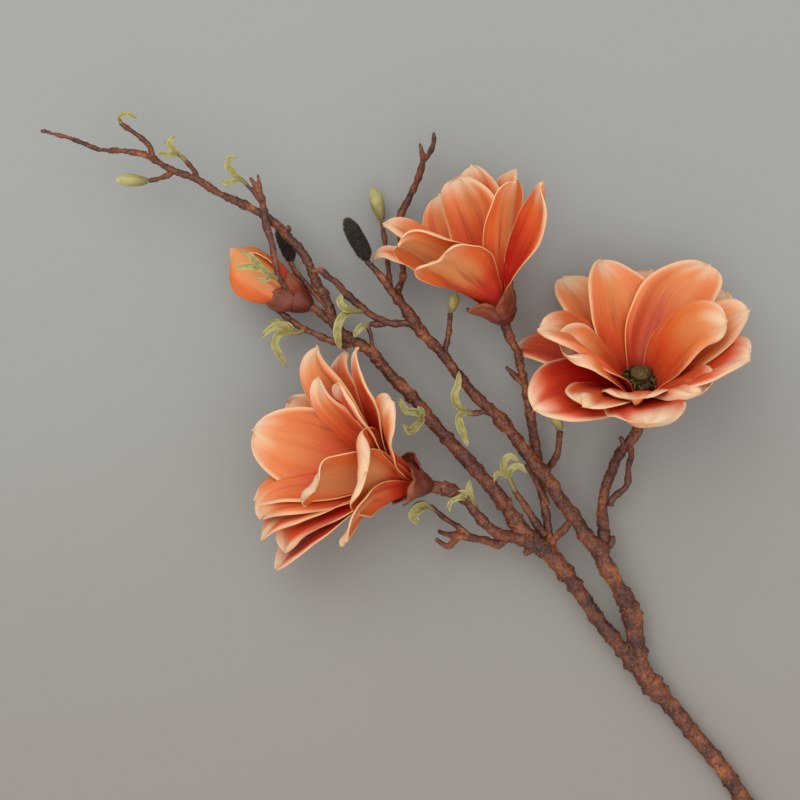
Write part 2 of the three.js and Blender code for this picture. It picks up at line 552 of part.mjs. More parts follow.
// Only the petals that reach into a solid are cut from it.
function clearOfPetals(solid, frame, bloom) {
  const near = bloom.petals.map((petal) => petalSolid(frame, petal, CLEARANCE))
    .filter((petal) => !petal.intersect(solid).isEmpty());
  return solid.subtract(union([ball(frame.base, CORE_RADIUS + CLEARANCE), ...near]));
}

// The cup of brown bracts under a bloom: a round base with lobes that lie along the petals.
function calyx(bloom) {
  const frame = bloomFrame(bloom);
  const cup = [[-1, 3.6], [-0.72, 8], [-0.28, 10.8], [-0.07, 10.9]].map(([depth, radius]) =>
    [...bloomPoint(frame, depth * bloom.cupDepth).toArray(), radius]);
  const lobes = bloom.lobes.map((lobe) =>
    blade(petalSurface(frame, lobe), LOBE_ROWS, LOBE_COLUMNS, CALYX_THICKNESS));
  return clearOfPetals(union([limb(cup, { sides: 9 }), ...lobes]), frame, bloom);
}

// The cone of carpels at the heart of an open bloom, with a ring of curled stamens.
function centre(bloom) {
  const frame = bloomFrame(bloom);
  const foot = CORE_RADIUS + CLEARANCE;
  const cone = [[foot, 4], [foot + 4, 6.6], [foot + 11, 6.4], [foot + 17, 3]]
    .map(([height, radius]) => [...bloomPoint(frame, height).toArray(), radius]);
  const random = seededRandom(5);
  const parts = [limb(cone, { sides: 7, rough: 0.06, seed: 3 })];
  for (let i = 0; i < bloom.stamens; i++) {
    const turn = (360 * (i + 0.3 * random())) / bloom.stamens;
    const reach = 9.5 + 2.5 * random();
    const rise = foot + 11 + 7 * random();
    const route = [[foot + 5, 5, 1.1], [rise, reach, 0.9], [rise + 4, reach - 3, 0.6]]
      .map(([height, distance, radius]) => [...bloomPoint(frame, height, distance, turn).toArray(), radius]);
    parts.push(limb(route, { sides: 3 }));
  }
  return clearOfPetals(union(parts), frame, bloom);
}

// ---- leaf buds, catkins and sprigs ---------------------------------------------------------

const BUDS = {
  bud_tip: [[-163.5, 142, 39, 1.6], [-168, 142, 39, 3.4], [-174, 142.5, 39, 4.2], [-180, 142.5, 39, 3.2],
    [-184, 142, 39, 0.9]],
  bud_top: [[-12.1, 118.5, 12, 1.6], [-13, 123, 12, 3.6], [-15, 130, 12.5, 4.6], [-17, 136, 13, 3.6],
    [-19, 140, 13, 0.9]],
  bud_middle: [[33.1, 57.5, 28, 1.8], [34, 61, 28, 3.4], [35.5, 66, 27, 3.5], [36, 70, 26, 1.4]],
  bud_right: [[104.9, -19.5, 24, 2], [103.5, -15, 24, 3.6], [102, -11, 24, 3.9], [101, -7, 24, 1.6]],
};

const CATKINS = {
  catkin_low: [[-72.1, 91.5, 19, 1.6], [-72.5, 95, 18, 3.6], [-75, 102, 17, 4.4], [-78, 109, 17, 3.8],
    [-80, 113, 17, 1.6]],
  catkin_high: [[-22.1, 91.5, 31, 1.6], [-23, 95, 31, 4.2], [-27, 103, 31, 5.2], [-32, 112, 31, 4.8],
    [-35, 117.5, 31, 1.8]],
};

const SPRIGS = {
  sprig_tip: {
    stem: [[-179.6, 177.7, 43.5, 1.4], [-180.8, 180.2, 44.5, 1.3]],
    leaves: [
      { width: 3.4, route: [[-180.9, 179.6, 44], [-180.9, 181.9, 46], [-179.2, 183.4, 47],
        [-176, 184, 47], [-172.9, 183.5, 46], [-169.9, 181.8, 44]] },
    ],
  },
  sprig_far: {
    stem: [[-137.9, 154.1, 41, 1.4], [-141, 157.2, 42, 1.4], [-143.5, 159, 43, 1.2]],
    leaves: [
      { width: 4.2, route: [[-142.2, 157.7, 43], [-145.9, 161.4, 45], [-148.4, 164.5, 46],
        [-147.1, 168.4, 46], [-144, 170.5, 44]] },
      { width: 3.6, route: [[-142.9, 158.4, 43], [-147.2, 158.1, 45], [-151.7, 159.4, 45],
        [-156.5, 158.5, 42]] },
      { width: 2.6, route: [[-144.1, 159.7, 43], [-148.9, 163.8, 41], [-153, 167.9, 39]] },
    ],
  },
  sprig_high: {
    stem: [[-99.1, 139.3, 40, 1.3], [-101.6, 141.8, 41, 1.3], [-104.1, 144.2, 42, 1.2]],
    leaves: [
      { width: 4.6, route: [[-102.8, 143, 42], [-107.8, 147.2, 45], [-110.9, 151.5, 47],
        [-109.6, 156, 47], [-104.6, 156.2, 45]] },
      { width: 3.8, route: [[-102.8, 142.3, 42], [-107.2, 140.8, 44], [-111.8, 140.3, 43],
        [-115.9, 143.1, 41]] },
      { width: 3, route: [[-104.8, 144.9, 42], [-108.7, 148.9, 41], [-112.8, 151, 39]] },
    ],
  },
  sprig_bud: {
    stem: [[-76.8, 76.8, 46, 1.5], [-80.5, 79.2, 48, 1.5], [-84.9, 80.4, 50, 1.3]],
    leaves: [
      { width: 4.6, route: [[-83.6, 80.4, 50], [-89.9, 84.7, 53], [-97.5, 86, 54], [-106.6, 84.8, 52]] },
      { width: 4.2, route: [[-83.6, 80.4, 50], [-91.1, 87.2, 54], [-97.4, 93.5, 56],
        [-102.6, 94.9, 54]] },
      { width: 3.4, route: [[-82.4, 79.8, 49], [-87.4, 77.1, 51], [-92.6, 77.8, 51]] },
    ],
  },
  sprig_under: {
    stem: [[-62.8, 45.8, 25, 1.6], [-67.4, 43.8, 26, 1.6], [-72.5, 44.4, 27, 1.4]],
    leaves: [
      { width: 5, route: [[-70.6, 44.4, 27], [-76.3, 48.3, 30], [-83.4, 46.9, 31], [-91.4, 40.5, 29]] },
      { width: 5, route: [[-70.6, 43.8, 27], [-78.2, 43, 31], [-81.4, 37.1, 32],
        [-78.3, 28.7, 30], [-73.9, 20.9, 27]] },
      { width: 4.2, route: [[-71.2, 44.4, 27], [-72.1, 47.9, 28.5], [-76.6, 51, 27.5]] },
      { width: 3.6, route: [[-73.2, 44.4, 27], [-79.8, 51.1, 25], [-85.2, 51.1, 23]] },
    ],
  },
  sprig_across: {
    stem: [[-24.7, 57.9, 33, 1.8], [-29.2, 57.8, 36, 1.7], [-32.5, 57.8, 37, 1.5]],
    leaves: [
      { width: 5, route: [[-30.5, 57.8, 37], [-35.6, 58.9, 41], [-38.8, 63.4, 42], [-37.6, 68.7, 40]] },
      { width: 5.6, route: [[-30.5, 57.1, 37], [-36.2, 54.4, 41], [-40.1, 47.2, 42],
        [-40.2, 38.9, 40], [-38.3, 32.5, 37]] },
    ],
  },
  sprig_middle: {
    stem: [[-20.8, 46.9, 32, 1.5], [-22.8, 49.5, 33, 1.4]],
    leaves: [
      { width: 4.6, route: [[-22.1, 48.2, 33], [-25.3, 47.4, 36], [-27.9, 44.2, 36], [-29.3, 40.3, 34]] },
    ],
  },
  sprig_left: {
    stem: [[16.9, -13.7, 31.5, 1.6], [13.7, -11.7, 33, 1.5]],
    leaves: [
      { width: 5, route: [[15, -12.4, 32], [10.4, -7.8, 35], [4.5, -7.1, 36], [0.7, -2.6, 35],
        [-1.3, 2.6, 33]] },
      { width: 5.4, route: [[15, -13, 32], [11.1, -16.3, 35], [5.9, -20.2, 35], [2, -15.6, 33]] },
      { width: 4, route: [[13.7, -11.7, 33], [14.3, -7.8, 36], [11.1, -3.9, 35]] },
    ],
  },
  sprig_limb: {
    stem: [[47.5, -9.1, 32.5, 1.9], [42.9, -7.8, 34, 1.8], [40.3, -7.2, 35, 1.5]],
    leaves: [
      { width: 5.2, route: [[42.9, -7.2, 35], [37.6, -4.5, 38], [35, 2.6, 39], [37.6, 10.4, 38],
        [38.4, 18.9, 35]] },
      { width: 5.2, route: [[42.9, -7.8, 35], [38.3, -10.4, 38], [38.9, -16.9, 39],
        [41.5, -23.4, 38], [43.6, -30.6, 35]] },
    ],
  },
  sprig_low: {
    stem: [[75, -59.4, 30, 1.7], [72.3, -54.1, 32, 1.7], [69.6, -48.8, 34, 1.5]],
    leaves: [
      { width: 4.6, route: [[70.3, -50.1, 33.5], [66.9, -44.2, 36], [67.5, -38.9, 38],
        [72, -36.3, 38], [77.3, -40.9, 36]] },
      { width: 4.2, route: [[70.3, -50.8, 33.5], [72.1, -44.8, 37], [76.5, -42.8, 38],
        [82.5, -47.4, 36]] },
      { width: 3.2, route: [[70.3, -50.8, 33.5], [65.7, -47.5, 35], [62.4, -48.1, 35],
        [61.2, -53.4, 33]] },
    ],
  },
  sprig_stalk: {
    stem: [[50, -72.1, 37, 1.9], [47.3, -67.4, 39, 1.7], [45.3, -63.4, 41, 1.5]],
    leaves: [
      { width: 4.8, route: [[46.6, -65.4, 40], [44.6, -59.5, 43], [45.2, -51.7, 43]] },
      { width: 4.2, route: [[46.6, -65.4, 40], [41.3, -60.1, 44], [33.6, -60.8, 43]] },
      { width: 3.4, route: [[45.3, -63.4, 41], [37.4, -63.2, 47], [32.3, -66.4, 46], [31.7, -72.4, 43]] },
    ],
  },
  sprig_below: {
    stem: [[22.3, -72.1, 23, 1.5], [19, -69.4, 24, 1.5], [17, -68.8, 24, 1.3]],
    leaves: [
      { width: 7, route: [[19, -70.1, 24], [13.1, -70, 26], [8.5, -74.6, 26], [12.5, -81.3, 23]] },
      { width: 4.4, route: [[18.3, -69.4, 24], [13.1, -67.4, 25], [8.5, -68.7, 25]] },
    ],
  },
};

// A strap leaf: narrow at its root, widest past the middle, pointed and folded up along its midrib.
function strapLeaf({ width, route }) {
  const curve = new THREE.CatmullRomCurve3(route.map((p) => new THREE.Vector3(...p)), false, 'centripetal');
  const up = new THREE.Vector3(0, 0, 1);
  const fold = degrees(28);
  return blade((s, t) => {
    const tangent = curve.getTangent(s);
    const across = tangent.clone().cross(up).normalize();
    const lift = across.clone().cross(tangent);
    const half = (width / 2) * (0.35 + 0.65 * Math.sin(Math.PI * Math.min(1, 0.12 + 0.95 * s)) ** 0.8);
    return curve.getPoint(s)
      .addScaledVector(across, t * half * Math.cos(fold))
      .addScaledVector(lift, Math.abs(t) * half * Math.sin(fold));
  }, route.length - 1, [-1, 1], LEAF_THICKNESS);
}

const sprig = ({ stem, leaves }) => union([limb(stem, { sides: 4 }), ...leaves.map(strapLeaf)]);

// ---- the part ------------------------------------------------------------------------------

const part = new THREE.Group();
const below = solidOf(new THREE.BoxGeometry(1200, 1200, 100).translate(0, 0, -50)); // the surface

function add(name, solid, colour, roughness) {
  const material = new THREE.MeshStandardMaterial({ color: colour, roughness, metalness: 0 });
  const mesh = new THREE.Mesh(largestSkin(solid), material);
  mesh.name = name;
  mesh.position.copy(ORIGIN).negate();
  part.add(mesh);
}

const branch = wood();
const clearOfWood = wood(CLEARANCE);
add('wood', branch.subtract(below), COLOURS.bark, 0.7);

for (const [name, bloom] of Object.entries(BLOOMS)) {
  add(`petals_${name}`, bloomPetals(bloom).subtract(clearOfWood).subtract(below), COLOURS.petal, 0.55);
  add(`calyx_${name}`, calyx(bloom).subtract(clearOfWood), COLOURS.calyx, 0.5);
  if (bloom.stamens) add(`centre_${name}`, centre(bloom), COLOURS.centre, 0.7);
}
for (const [name, route] of Object.entries(BUDS)) {
  add(name, limb(route, { sides: 8, step: 4 }).subtract(clearOfWood), COLOURS.leaf, 0.5);
}
for (const [name, route] of Object.entries(CATKINS)) {
  const spike = limb(route, { sides: 8, step: 4, rough: 0.1, seed: 21 });
  add(name, spike.subtract(clearOfWood), COLOURS.catkin, 0.9);
}
for (const [name, shape] of Object.entries(SPRIGS)) {
  add(name, sprig(shape).subtract(clearOfWood), COLOURS.leaf, 0.5);
}

export default part;
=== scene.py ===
"""A cut branch of saucer magnolia lying on a pale floor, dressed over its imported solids.

Sizes are in millimetres, in route points: x and y run across the floor from the middle of the
picture, z is up. place() turns them into metres in the frame of the solids.
"""

import logging
import math
from dataclasses import dataclass, field
from enum import Enum

import bpy
import numpy as np
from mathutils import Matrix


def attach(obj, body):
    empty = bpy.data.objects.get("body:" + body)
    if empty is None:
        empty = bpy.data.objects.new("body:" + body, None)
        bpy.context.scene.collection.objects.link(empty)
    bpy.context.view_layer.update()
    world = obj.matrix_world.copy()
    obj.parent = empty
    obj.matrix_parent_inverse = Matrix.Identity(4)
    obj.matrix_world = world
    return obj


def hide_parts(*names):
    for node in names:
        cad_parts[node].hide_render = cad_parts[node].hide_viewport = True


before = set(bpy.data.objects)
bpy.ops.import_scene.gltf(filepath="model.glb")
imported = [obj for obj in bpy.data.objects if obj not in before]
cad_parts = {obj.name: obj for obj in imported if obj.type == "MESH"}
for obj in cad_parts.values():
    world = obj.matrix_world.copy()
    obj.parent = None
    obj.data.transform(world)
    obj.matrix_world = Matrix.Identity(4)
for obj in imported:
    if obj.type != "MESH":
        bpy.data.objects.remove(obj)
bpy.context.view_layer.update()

log = logging.getLogger("magnolia")

MM = 0.001
ORIGIN = np.array([17.4, -63.1, 0.0])  # bottom centre of the whole branch, in route points
UP = np.array([0.0, 0.0, 1.0])
BODY = "root"
PETAL_ROWS = 44
PETAL_COLUMNS = 27
MIDRIB_STEPS = 60
SECTION_STEPS = 16  # of a petal's section, from the midrib to the rim
LEAF_COLUMNS = 13
SURFACE_EASE = 5.0  # a petal bends to the flat from this far above to this far below the floor
SURFACE_REST = 0.45
SURFACE_GAP = 0.04  # no face of a petal lies lower
GOLDEN_TURN = 137.508  # degrees from one carpel or stamen to the next

Array = np.ndarray
Route = list[tuple[float, ...]]
Colour = tuple[int, int, int]
Source = bpy.types.NodeSocket | bpy.types.Node


def place(points: Array) -> Array:
    """Metres in the frame of the solids, from millimetres in route points."""
    return (np.asarray(points, float) - ORIGIN) * MM


def smoothstep(low: float, high: float, value: Array) -> Array:
    """0 below low, 1 above high and a smooth ramp between them."""
    share = np.clip((value - low) / (high - low), 0.0, 1.0)
    return share * share * (3.0 - 2.0 * share)


def unit(vector: Array) -> Array:
    """The vector or vectors at length 1."""
    return vector / np.maximum(np.linalg.norm(vector, axis=-1, keepdims=True), 1e-12)


def crossing(count: int, crowding: float) -> Array:
    """Shares from -1 to 1 that crowd together to both ends."""
    even = np.linspace(-1, 1, count)
    return np.sign(even) * (1 - (1 - np.abs(even)) ** crowding)


def spun(first: Array, second: Array, angle: Array) -> tuple[Array, Array]:
    """Two directions at right angles, turned by an angle from the first to the second."""
    return (
        first * np.cos(angle) + second * np.sin(angle),
        second * np.cos(angle) - first * np.sin(angle),
    )


def linear(red: int, green: int, blue: int) -> tuple[float, float, float, float]:
    """A shader colour from 0 to 255 display values."""
    channels = [c / 255 for c in (red, green, blue)]
    return (*[c / 12.92 if c <= 0.04045 else ((c + 0.055) / 1.055) ** 2.4 for c in channels], 1.0)


def put(name: str, data: bpy.types.ID) -> bpy.types.Object:
    """Puts a new object with this data into the scene."""
    made = bpy.data.objects.new(name, data)
    bpy.context.scene.collection.objects.link(made)
    return made


def shade_smooth(mesh: bpy.types.Mesh) -> None:
    """Shades all faces of a mesh smooth."""
    mesh.polygons.foreach_set("use_smooth", [True] * len(mesh.polygons))


# ---- meshes ---------------------------------------------------------------------------------


@dataclass
class Shell:
    """A mesh in the making: vertices in route millimetres, faces and point attributes."""

    vertices: Array
    faces: list[tuple[int, ...]] = field(default_factory=list)
    values: dict[str, Array] = field(default_factory=dict)

    def add(self, other: "Shell") -> None:
        """Joins another shell with the same attributes to this one.

        Args:
            other: The shell to take in.
        """
        start = len(self.vertices)
        self.vertices = np.vstack([self.vertices, other.vertices])
        self.faces += [tuple(i + start for i in face) for face in other.faces]
        for name, data in other.values.items():
            self.values[name] = np.concatenate([self.values[name], data])

    def build(self, name: str, material: bpy.types.Material) -> bpy.types.Object:
        """Makes the object, smooth shaded, with its place in its mesh.

        Args:
            name: The name of the piece.
            material: Its finish.

        Returns:
            The new object.
        """
        mesh = bpy.data.meshes.new(name)
        mesh.from_pydata(place(self.vertices).tolist(), [], self.faces)
        for key, data in self.values.items():
            layer = mesh.attributes.new(key, "FLOAT", "POINT")
            layer.data.foreach_set("value", np.ascontiguousarray(data, dtype=np.float32))
        mesh.materials.append(material)
        shade_smooth(mesh)
        mesh.update()
        return put(name, mesh)


def grid_faces(index: Array, closed: bool = False) -> list[tuple[int, ...]]:
    """Quads of a grid of vertices.

    Args:
        index: The index of each vertex, rows by columns.
        closed: Whether the last column joins the first.

    Returns:
        The faces, each facing the side from which rows run up and columns run to the left.
    """
    rows, columns = index.shape
    faces = []
    for i in range(rows - 1):
        for j in range(columns if closed else columns - 1):
            k = (j + 1) % columns
            quad = (index[i, j], index[i + 1, j], index[i + 1, k], index[i, k])
            corners = tuple(int(v) for n, v in enumerate(quad) if v != quad[n - 1])
            if len(set(corners)) > 2:
                faces.append(corners)
    return faces


def closed_sheet(points: Array, depth: Array, **grids: Array) -> tuple[Shell, Array]:
    """Thickens a grid of points into a closed sheet whose two faces meet along the rim.

    Args:
        points: The middle surface, rows by columns by 3.
        depth: How far each face lies from it, set to 0 in the first row.
        grids: Attributes by name, rows by columns.

    Returns:
        The sheet, with its front before its back, and a mask of the places inside the rim.
    """
    depth[0] = 0
    normals = unit(np.cross(np.gradient(points, axis=0), np.gradient(points, axis=1)))
    front = points + normals * depth[..., None]
    back = points - normals * depth[..., None]
    index = np.arange(depth.size).reshape(depth.shape)
    inside = np.zeros_like(index, dtype=bool)
    inside[1:-1, 1:-1] = True
    behind = index.copy()
    behind[inside] = depth.size + np.arange(inside.sum())
    made = Shell(np.vstack([front.reshape(-1, 3), back[inside]]))
    made.faces = grid_faces(index) + [face[::-1] for face in grid_faces(behind)]
    for name, data in grids.items():
        made.values[name] = np.concatenate([data.reshape(-1), data[inside]])
    return made, inside


def between(at: Array, low: float, high: float, first: Array, second: Array) -> Array:
    """A straight blend from the first at low to the second at high."""
    return (high - at) / (high - low) * first + (at - low) / (high - low) * second


def spline(route: Route, spacing: float) -> Array:
    """Even stations on a centripetal curve through a route.

    Args:
        route: Points with any further values, such as a radius, after x, y and z.
        spacing: The distance between stations.

    Returns:
        The stations, each with the route's further values.
    """
    points = np.array(route, float)
    padded = np.vstack([2 * points[0] - points[1], points, 2 * points[-1] - points[-2]])
    stations = []
    for i in range(len(points) - 1):
        p = padded[i : i + 4]
        steps = np.linalg.norm(np.diff(p[:, :3], axis=0), axis=1) ** 0.5
        knots = np.concatenate([[0.0], np.cumsum(steps)])
        count = max(2, int(np.linalg.norm(p[2, :3] - p[1, :3]) / spacing) + 1)
        at = np.linspace(knots[1], knots[2], count, endpoint=i == len(points) - 2)[:, None]
        a = [between(at, knots[j], knots[j + 1], p[j], p[j + 1]) for j in range(3)]
        b = [between(at, knots[j], knots[j + 2], a[j], a[j + 1]) for j in range(2)]
        stations.append(between(at, knots[1], knots[2], b[0], b[1]))
    return np.vstack(stations)


def rounds(stations: Array) -> tuple[Array, Array]:
    """Two cross directions for each station, which turn as little as they can along a curve."""
    tangents = unit(np.gradient(stations, axis=0))
    normals = np.zeros_like(tangents)
    normal = UP if abs(tangents[0][2]) < 0.9 else np.array([1.0, 0.0, 0.0])
    for i, tangent in enumerate(tangents):
        normal = unit(normal - tangent * normal.dot(tangent))
        normals[i] = normal
    return normals, np.cross(tangents, normals)


def tube(stations: Array, radii: Array, sides: int) -> Shell:
    """A closed round body along a curve.

    Args:
        stations: Points of the curve.
        radii: A radius for each station, or one for each station and side.
        sides: Vertices in a ring.

    Returns:
        The body, with the attribute along.
    """
    normals, across = rounds(stations)
    count = len(stations)
    angle = np.arange(sides) / sides * 2 * math.pi
    radii = np.broadcast_to(radii if np.ndim(radii) == 2 else radii[:, None], (count, sides))
    spokes = (
        np.cos(angle)[None, :, None] * normals[:, None] + np.sin(angle)[None, :, None] * across[:, None]
    )
    rings = stations[:, None] + radii[..., None] * spokes
    body = Shell(np.vstack([rings.reshape(-1, 3), stations[:1], stations[-1:]]))
    index = np.arange(count * sides).reshape(count, sides)
    body.faces = [face[::-1] for face in grid_faces(index, closed=True)]
    for j in range(sides):
        k = (j + 1) % sides
        body.faces.append((count * sides, int(index[0, k]), int(index[0, j])))
        body.faces.append((count * sides + 1, int(index[-1, j]), int(index[-1, k])))
    share = np.repeat(np.linspace(0, 1, count), sides)
    body.values = {"along": np.append(share, [0.0, 1.0])}
    return body


def rod(route: Route, spacing: float, sides: int, thick: float = 1.0) -> Shell:
    """A tube along a route of points with radii.

    Args:
        route: The points, each with its radius.
        spacing: The distance between stations.
        sides: Vertices in a ring.
        thick: A factor for the radii.

    Returns:
        The body.
    """
    stations = spline(route, spacing)
    return tube(stations[:, :3], stations[:, 3] * thick, sides)


# ---- node trees -----------------------------------------------------------------------------


class Nodes:
    """A node tree built step by step."""

    kinds: tuple[str, ...] = ("ShaderNode",)

    def __init__(self, tree: bpy.types.NodeTree) -> None:
        """Takes the tree to build in."""
        self.tree = tree

    def link(self, source: Source, target: bpy.types.NodeSocket) -> None:
        """Joins an output, or a node's first output, to an input."""
        source = source.outputs[0] if isinstance(source, bpy.types.Node) else source
        self.tree.links.new(source, target)

    def feed(self, node: bpy.types.Node, **inputs: object) -> None:
        """Fills a node's inputs.

        Args:
            node: The node.
            inputs: Values or sources by input name, with _ for a space, or by _number.
        """
        for key, value in inputs.items():
            socket = node.inputs[int(key[1:])] if key[0] == "_" else node.inputs[key.replace("_", " ")]
            if isinstance(value, Source):
                self.link(value, socket)
            else:
                socket.default_value = value

    def node(self, kind: str, settings: dict | None = None, **inputs: object) -> bpy.types.Node:
        """Adds a node.

        Args:
            kind: Its type, without the words in front that name a kind of node.
            settings: Its own properties.
            inputs: Its inputs, as for feed.

        Returns:
            The node.
        """
        made = self.tree.nodes.new(next(k + kind for k in self.kinds if hasattr(bpy.types, k + kind)))
        for key, value in (settings or {}).items():
            setattr(made, key, value)
        self.feed(made, **inputs)
        return made

    def math(
        self, operation: str, first: object, second: object = 0.5, third: object = 0.0
    ) -> bpy.types.Node:
        """A maths node with up to three values."""
        return self.node("Math", {"operation": operation}, _0=first, _1=second, _2=third)

    def times(self, first: object, second: object) -> bpy.types.Node:
        """The product of two values."""
        return self.math("MULTIPLY", first, second)

    def wander(self, noise: Source, amount: object, value: object) -> bpy.types.Node:
        """A value moved up and down by a noise."""
        return self.math("MULTIPLY_ADD", self.math("SUBTRACT", noise), amount, value)

    def noise(self, where: Source, scale: float, detail: float, roughness: float = 0.5) -> bpy.types.Node:
        """A noise of 0 to 1."""
        return self.node("TexNoise", Vector=where, Scale=scale, Detail=detail, Roughness=roughness)


class Tree(Nodes):
    """A geometry node tree with named inputs."""

    kinds = ("GeometryNode", "ShaderNode", "FunctionNode")

    def __init__(self, name: str) -> None:
        """Starts a tree with a geometry input and output."""
        super().__init__(bpy.data.node_groups.new(name, "GeometryNodeTree"))
        for way in ("INPUT", "OUTPUT"):
            self.tree.interface.new_socket("Geometry", in_out=way, socket_type="NodeSocketGeometry")
        self.start = self.tree.nodes.new("NodeGroupInput")
        self.end = self.tree.nodes.new("NodeGroupOutput")
        self.given = self.start.outputs["Geometry"]

    def size(self, name: str, value: float | int, kind: str = "Float") -> bpy.types.NodeSocket:
        """Adds a named input.

        Args:
            name: The input's name.
            value: Its default.
            kind: Float, Int or Material.

        Returns:
            The socket that gives its value.
        """
        socket = self.tree.interface.new_socket(name, in_out="INPUT", socket_type=f"NodeSocket{kind}")
        if kind != "Material":
            socket.default_value = value
        return self.start.outputs[name]

    def strew(
        self,
        mesh: Source,
        shape: Source,
        sizes: tuple[float, float],
        lean: Source | None = None,
        **inputs: object,
    ) -> bpy.types.Node:
        """Stands copies of a shape all over a mesh, and keeps the mesh.

        Args:
            mesh: What they stand on.
            shape: The shape.
            sizes: The least and the greatest factor for a copy's size.
            lean: A further turn of each copy.
            inputs: The density of the copies and the seed.

        Returns:
            The joined node.
        """
        points = self.node("DistributePointsOnFaces", Mesh=mesh, **inputs)
        size = self.node(
            "RandomValue", {"data_type": "FLOAT"}, Min=sizes[0], Max=sizes[1], Seed=inputs["Seed"]
        )
        turn = points.outputs["Rotation"]
        if lean is not None:
            turn = self.node("RotateRotation", {"rotation_space": "LOCAL"}, Rotation=turn, Rotate_By=lean)
        copies = self.node(
            "InstanceOnPoints", Points=points, Instance=shape, Rotation=turn, Scale=size.outputs[1]
        )
        both = self.node("JoinGeometry")
        for part in (copies, mesh):
            self.link(part, both.inputs[0])
        return both

    def finish(self, geometry: bpy.types.Node) -> "Tree":
        """Ends the tree in Realize Instances and Set Material.

        Args:
            geometry: The node that gives the result.

        Returns:
            The tree.
        """
        material = self.size("Finish", 0, "Material")
        real = self.node("RealizeInstances", Geometry=geometry)
        dressed = self.node("SetMaterial", Geometry=real, Material=material)
        self.link(dressed, self.end.inputs[0])
        return self

    def grow(self, piece: bpy.types.Object, **values: object) -> bpy.types.Object:
        """Runs the tree on an object and keeps the result as its plain mesh.

        Args:
            piece: The object; a curve is replaced by a mesh object of the same name.
            values: Inputs by name, with _ for a space.

        Returns:
            The object that holds the result.
        """
        modifier = piece.modifiers.new(self.tree.name, "NODES")
        modifier.node_group = self.tree
        for item in self.tree.interface.items_tree:
            key = item.name.replace(" ", "_")
            if item.in_out == "INPUT" and key in values:
                modifier[item.identifier] = values[key]
        piece.update_tag()
        graph = bpy.context.evaluated_depsgraph_get()
        mesh = bpy.data.meshes.new_from_object(
            piece.evaluated_get(graph), preserve_all_data_layers=True, depsgraph=graph
        )
        piece.modifiers.remove(modifier)
        if piece.type == "MESH":
            piece.data = mesh
            return piece
        name = piece.name
        bpy.data.objects.remove(piece)
        return put(name, mesh)


def bark_tube_tree() -> Tree:
    """Round bark tubes along curves, each as thick as its curve's radius says."""
    tree = Tree("bark_tubes")
    sides = tree.size("Sides", 14, "Int")
    ring = tree.node("CurvePrimitiveCircle", Resolution=sides, Radius=1.0)
    radius = tree.node("InputRadius")
    swept = tree.node("CurveToMesh", Curve=tree.given, Profile_Curve=ring, Scale=radius, Fill_Caps=True)
    return tree.finish(swept)


def bark_relief_tree() -> Tree:
    """Pushes a smooth limb out into cracked, knobbly bark and strews raised specks over it."""
    tree = Tree("bark_relief")
    lumps = tree.size("Lump height", 0.00045)
    grain = tree.size("Grain height", 0.0002)
    density = tree.size("Specks", 20000.0)
    radius = tree.size("Speck radius", 0.0006)
    seed = tree.size("Seed", 4, "Int")
    where = tree.node("InputPosition")
    broad = tree.noise(where, 230.0, 2.0, 0.6)
    fine = tree.noise(where, 900.0, 3.0, 0.65)
    crack = tree.node("TexVoronoi", {"feature": "DISTANCE_TO_EDGE"}, Vector=where, Scale=260.0)
    groove = tree.node("MapRange", _0=crack.outputs["Distance"], _1=0.0, _2=0.16, _3=-0.5, _4=0.12)
    height = tree.wander(fine, grain, tree.times(tree.wander(broad, 2.4, groove), lumps))
    push = tree.node("VectorMath", {"operation": "SCALE"}, _0=tree.node("InputNormal"), Scale=height)
    relief = tree.node("SetPosition", Geometry=tree.given, Offset=push)
    # nothing is pushed below the surface that the branch lies on
    resting = tree.node("VectorMath", {"operation": "MAXIMUM"}, _0=where, _1=(-10.0, -10.0, 0.0))
    relief = tree.node("SetPosition", Geometry=relief, Position=resting)
    bead = tree.node("MeshIcoSphere", Radius=radius, Subdivisions=1)
    bead = tree.node("Transform", Geometry=bead, Scale=(1.0, 1.5, 0.55))
    bead = tree.node("SetShadeSmooth", Geometry=bead)
    relief, bead = (
        tree.node("StoreNamedAttribute", {"data_type": "FLOAT"}, Geometry=part, Name="speck", Value=value)
        for part, value in ((relief, 0.0), (bead, 1.0))
    )
    return tree.finish(tree.strew(relief, bead, (0.45, 1.25), Density=density, Seed=seed))


def fuzz_tree() -> Tree:
    """Short bristles that stand out of a catkin, each leaning a little at random."""
    tree = Tree("catkin_fuzz")
    density = tree.size("Density", 2.4e6)
    length = tree.size("Length", 0.0014)
    radius = tree.size("Radius", 0.0004)
    seed = tree.size("Seed", 3, "Int")
    bristle = tree.node("MeshCone", Vertices=4, Radius_Bottom=radius, Radius_Top=0.00008, Depth=length)
    lean = tree.node("RandomValue", {"data_type": "FLOAT_VECTOR"}, Seed=seed)
    tree.feed(lean, _0=(-0.5, -0.5, 0.0), _1=(0.5, 0.5, 6.28))
    return tree.finish(tree.strew(tree.given, bristle, (0.6, 1.2), lean, Density=density, Seed=seed))


# ---- finishes -------------------------------------------------------------------------------


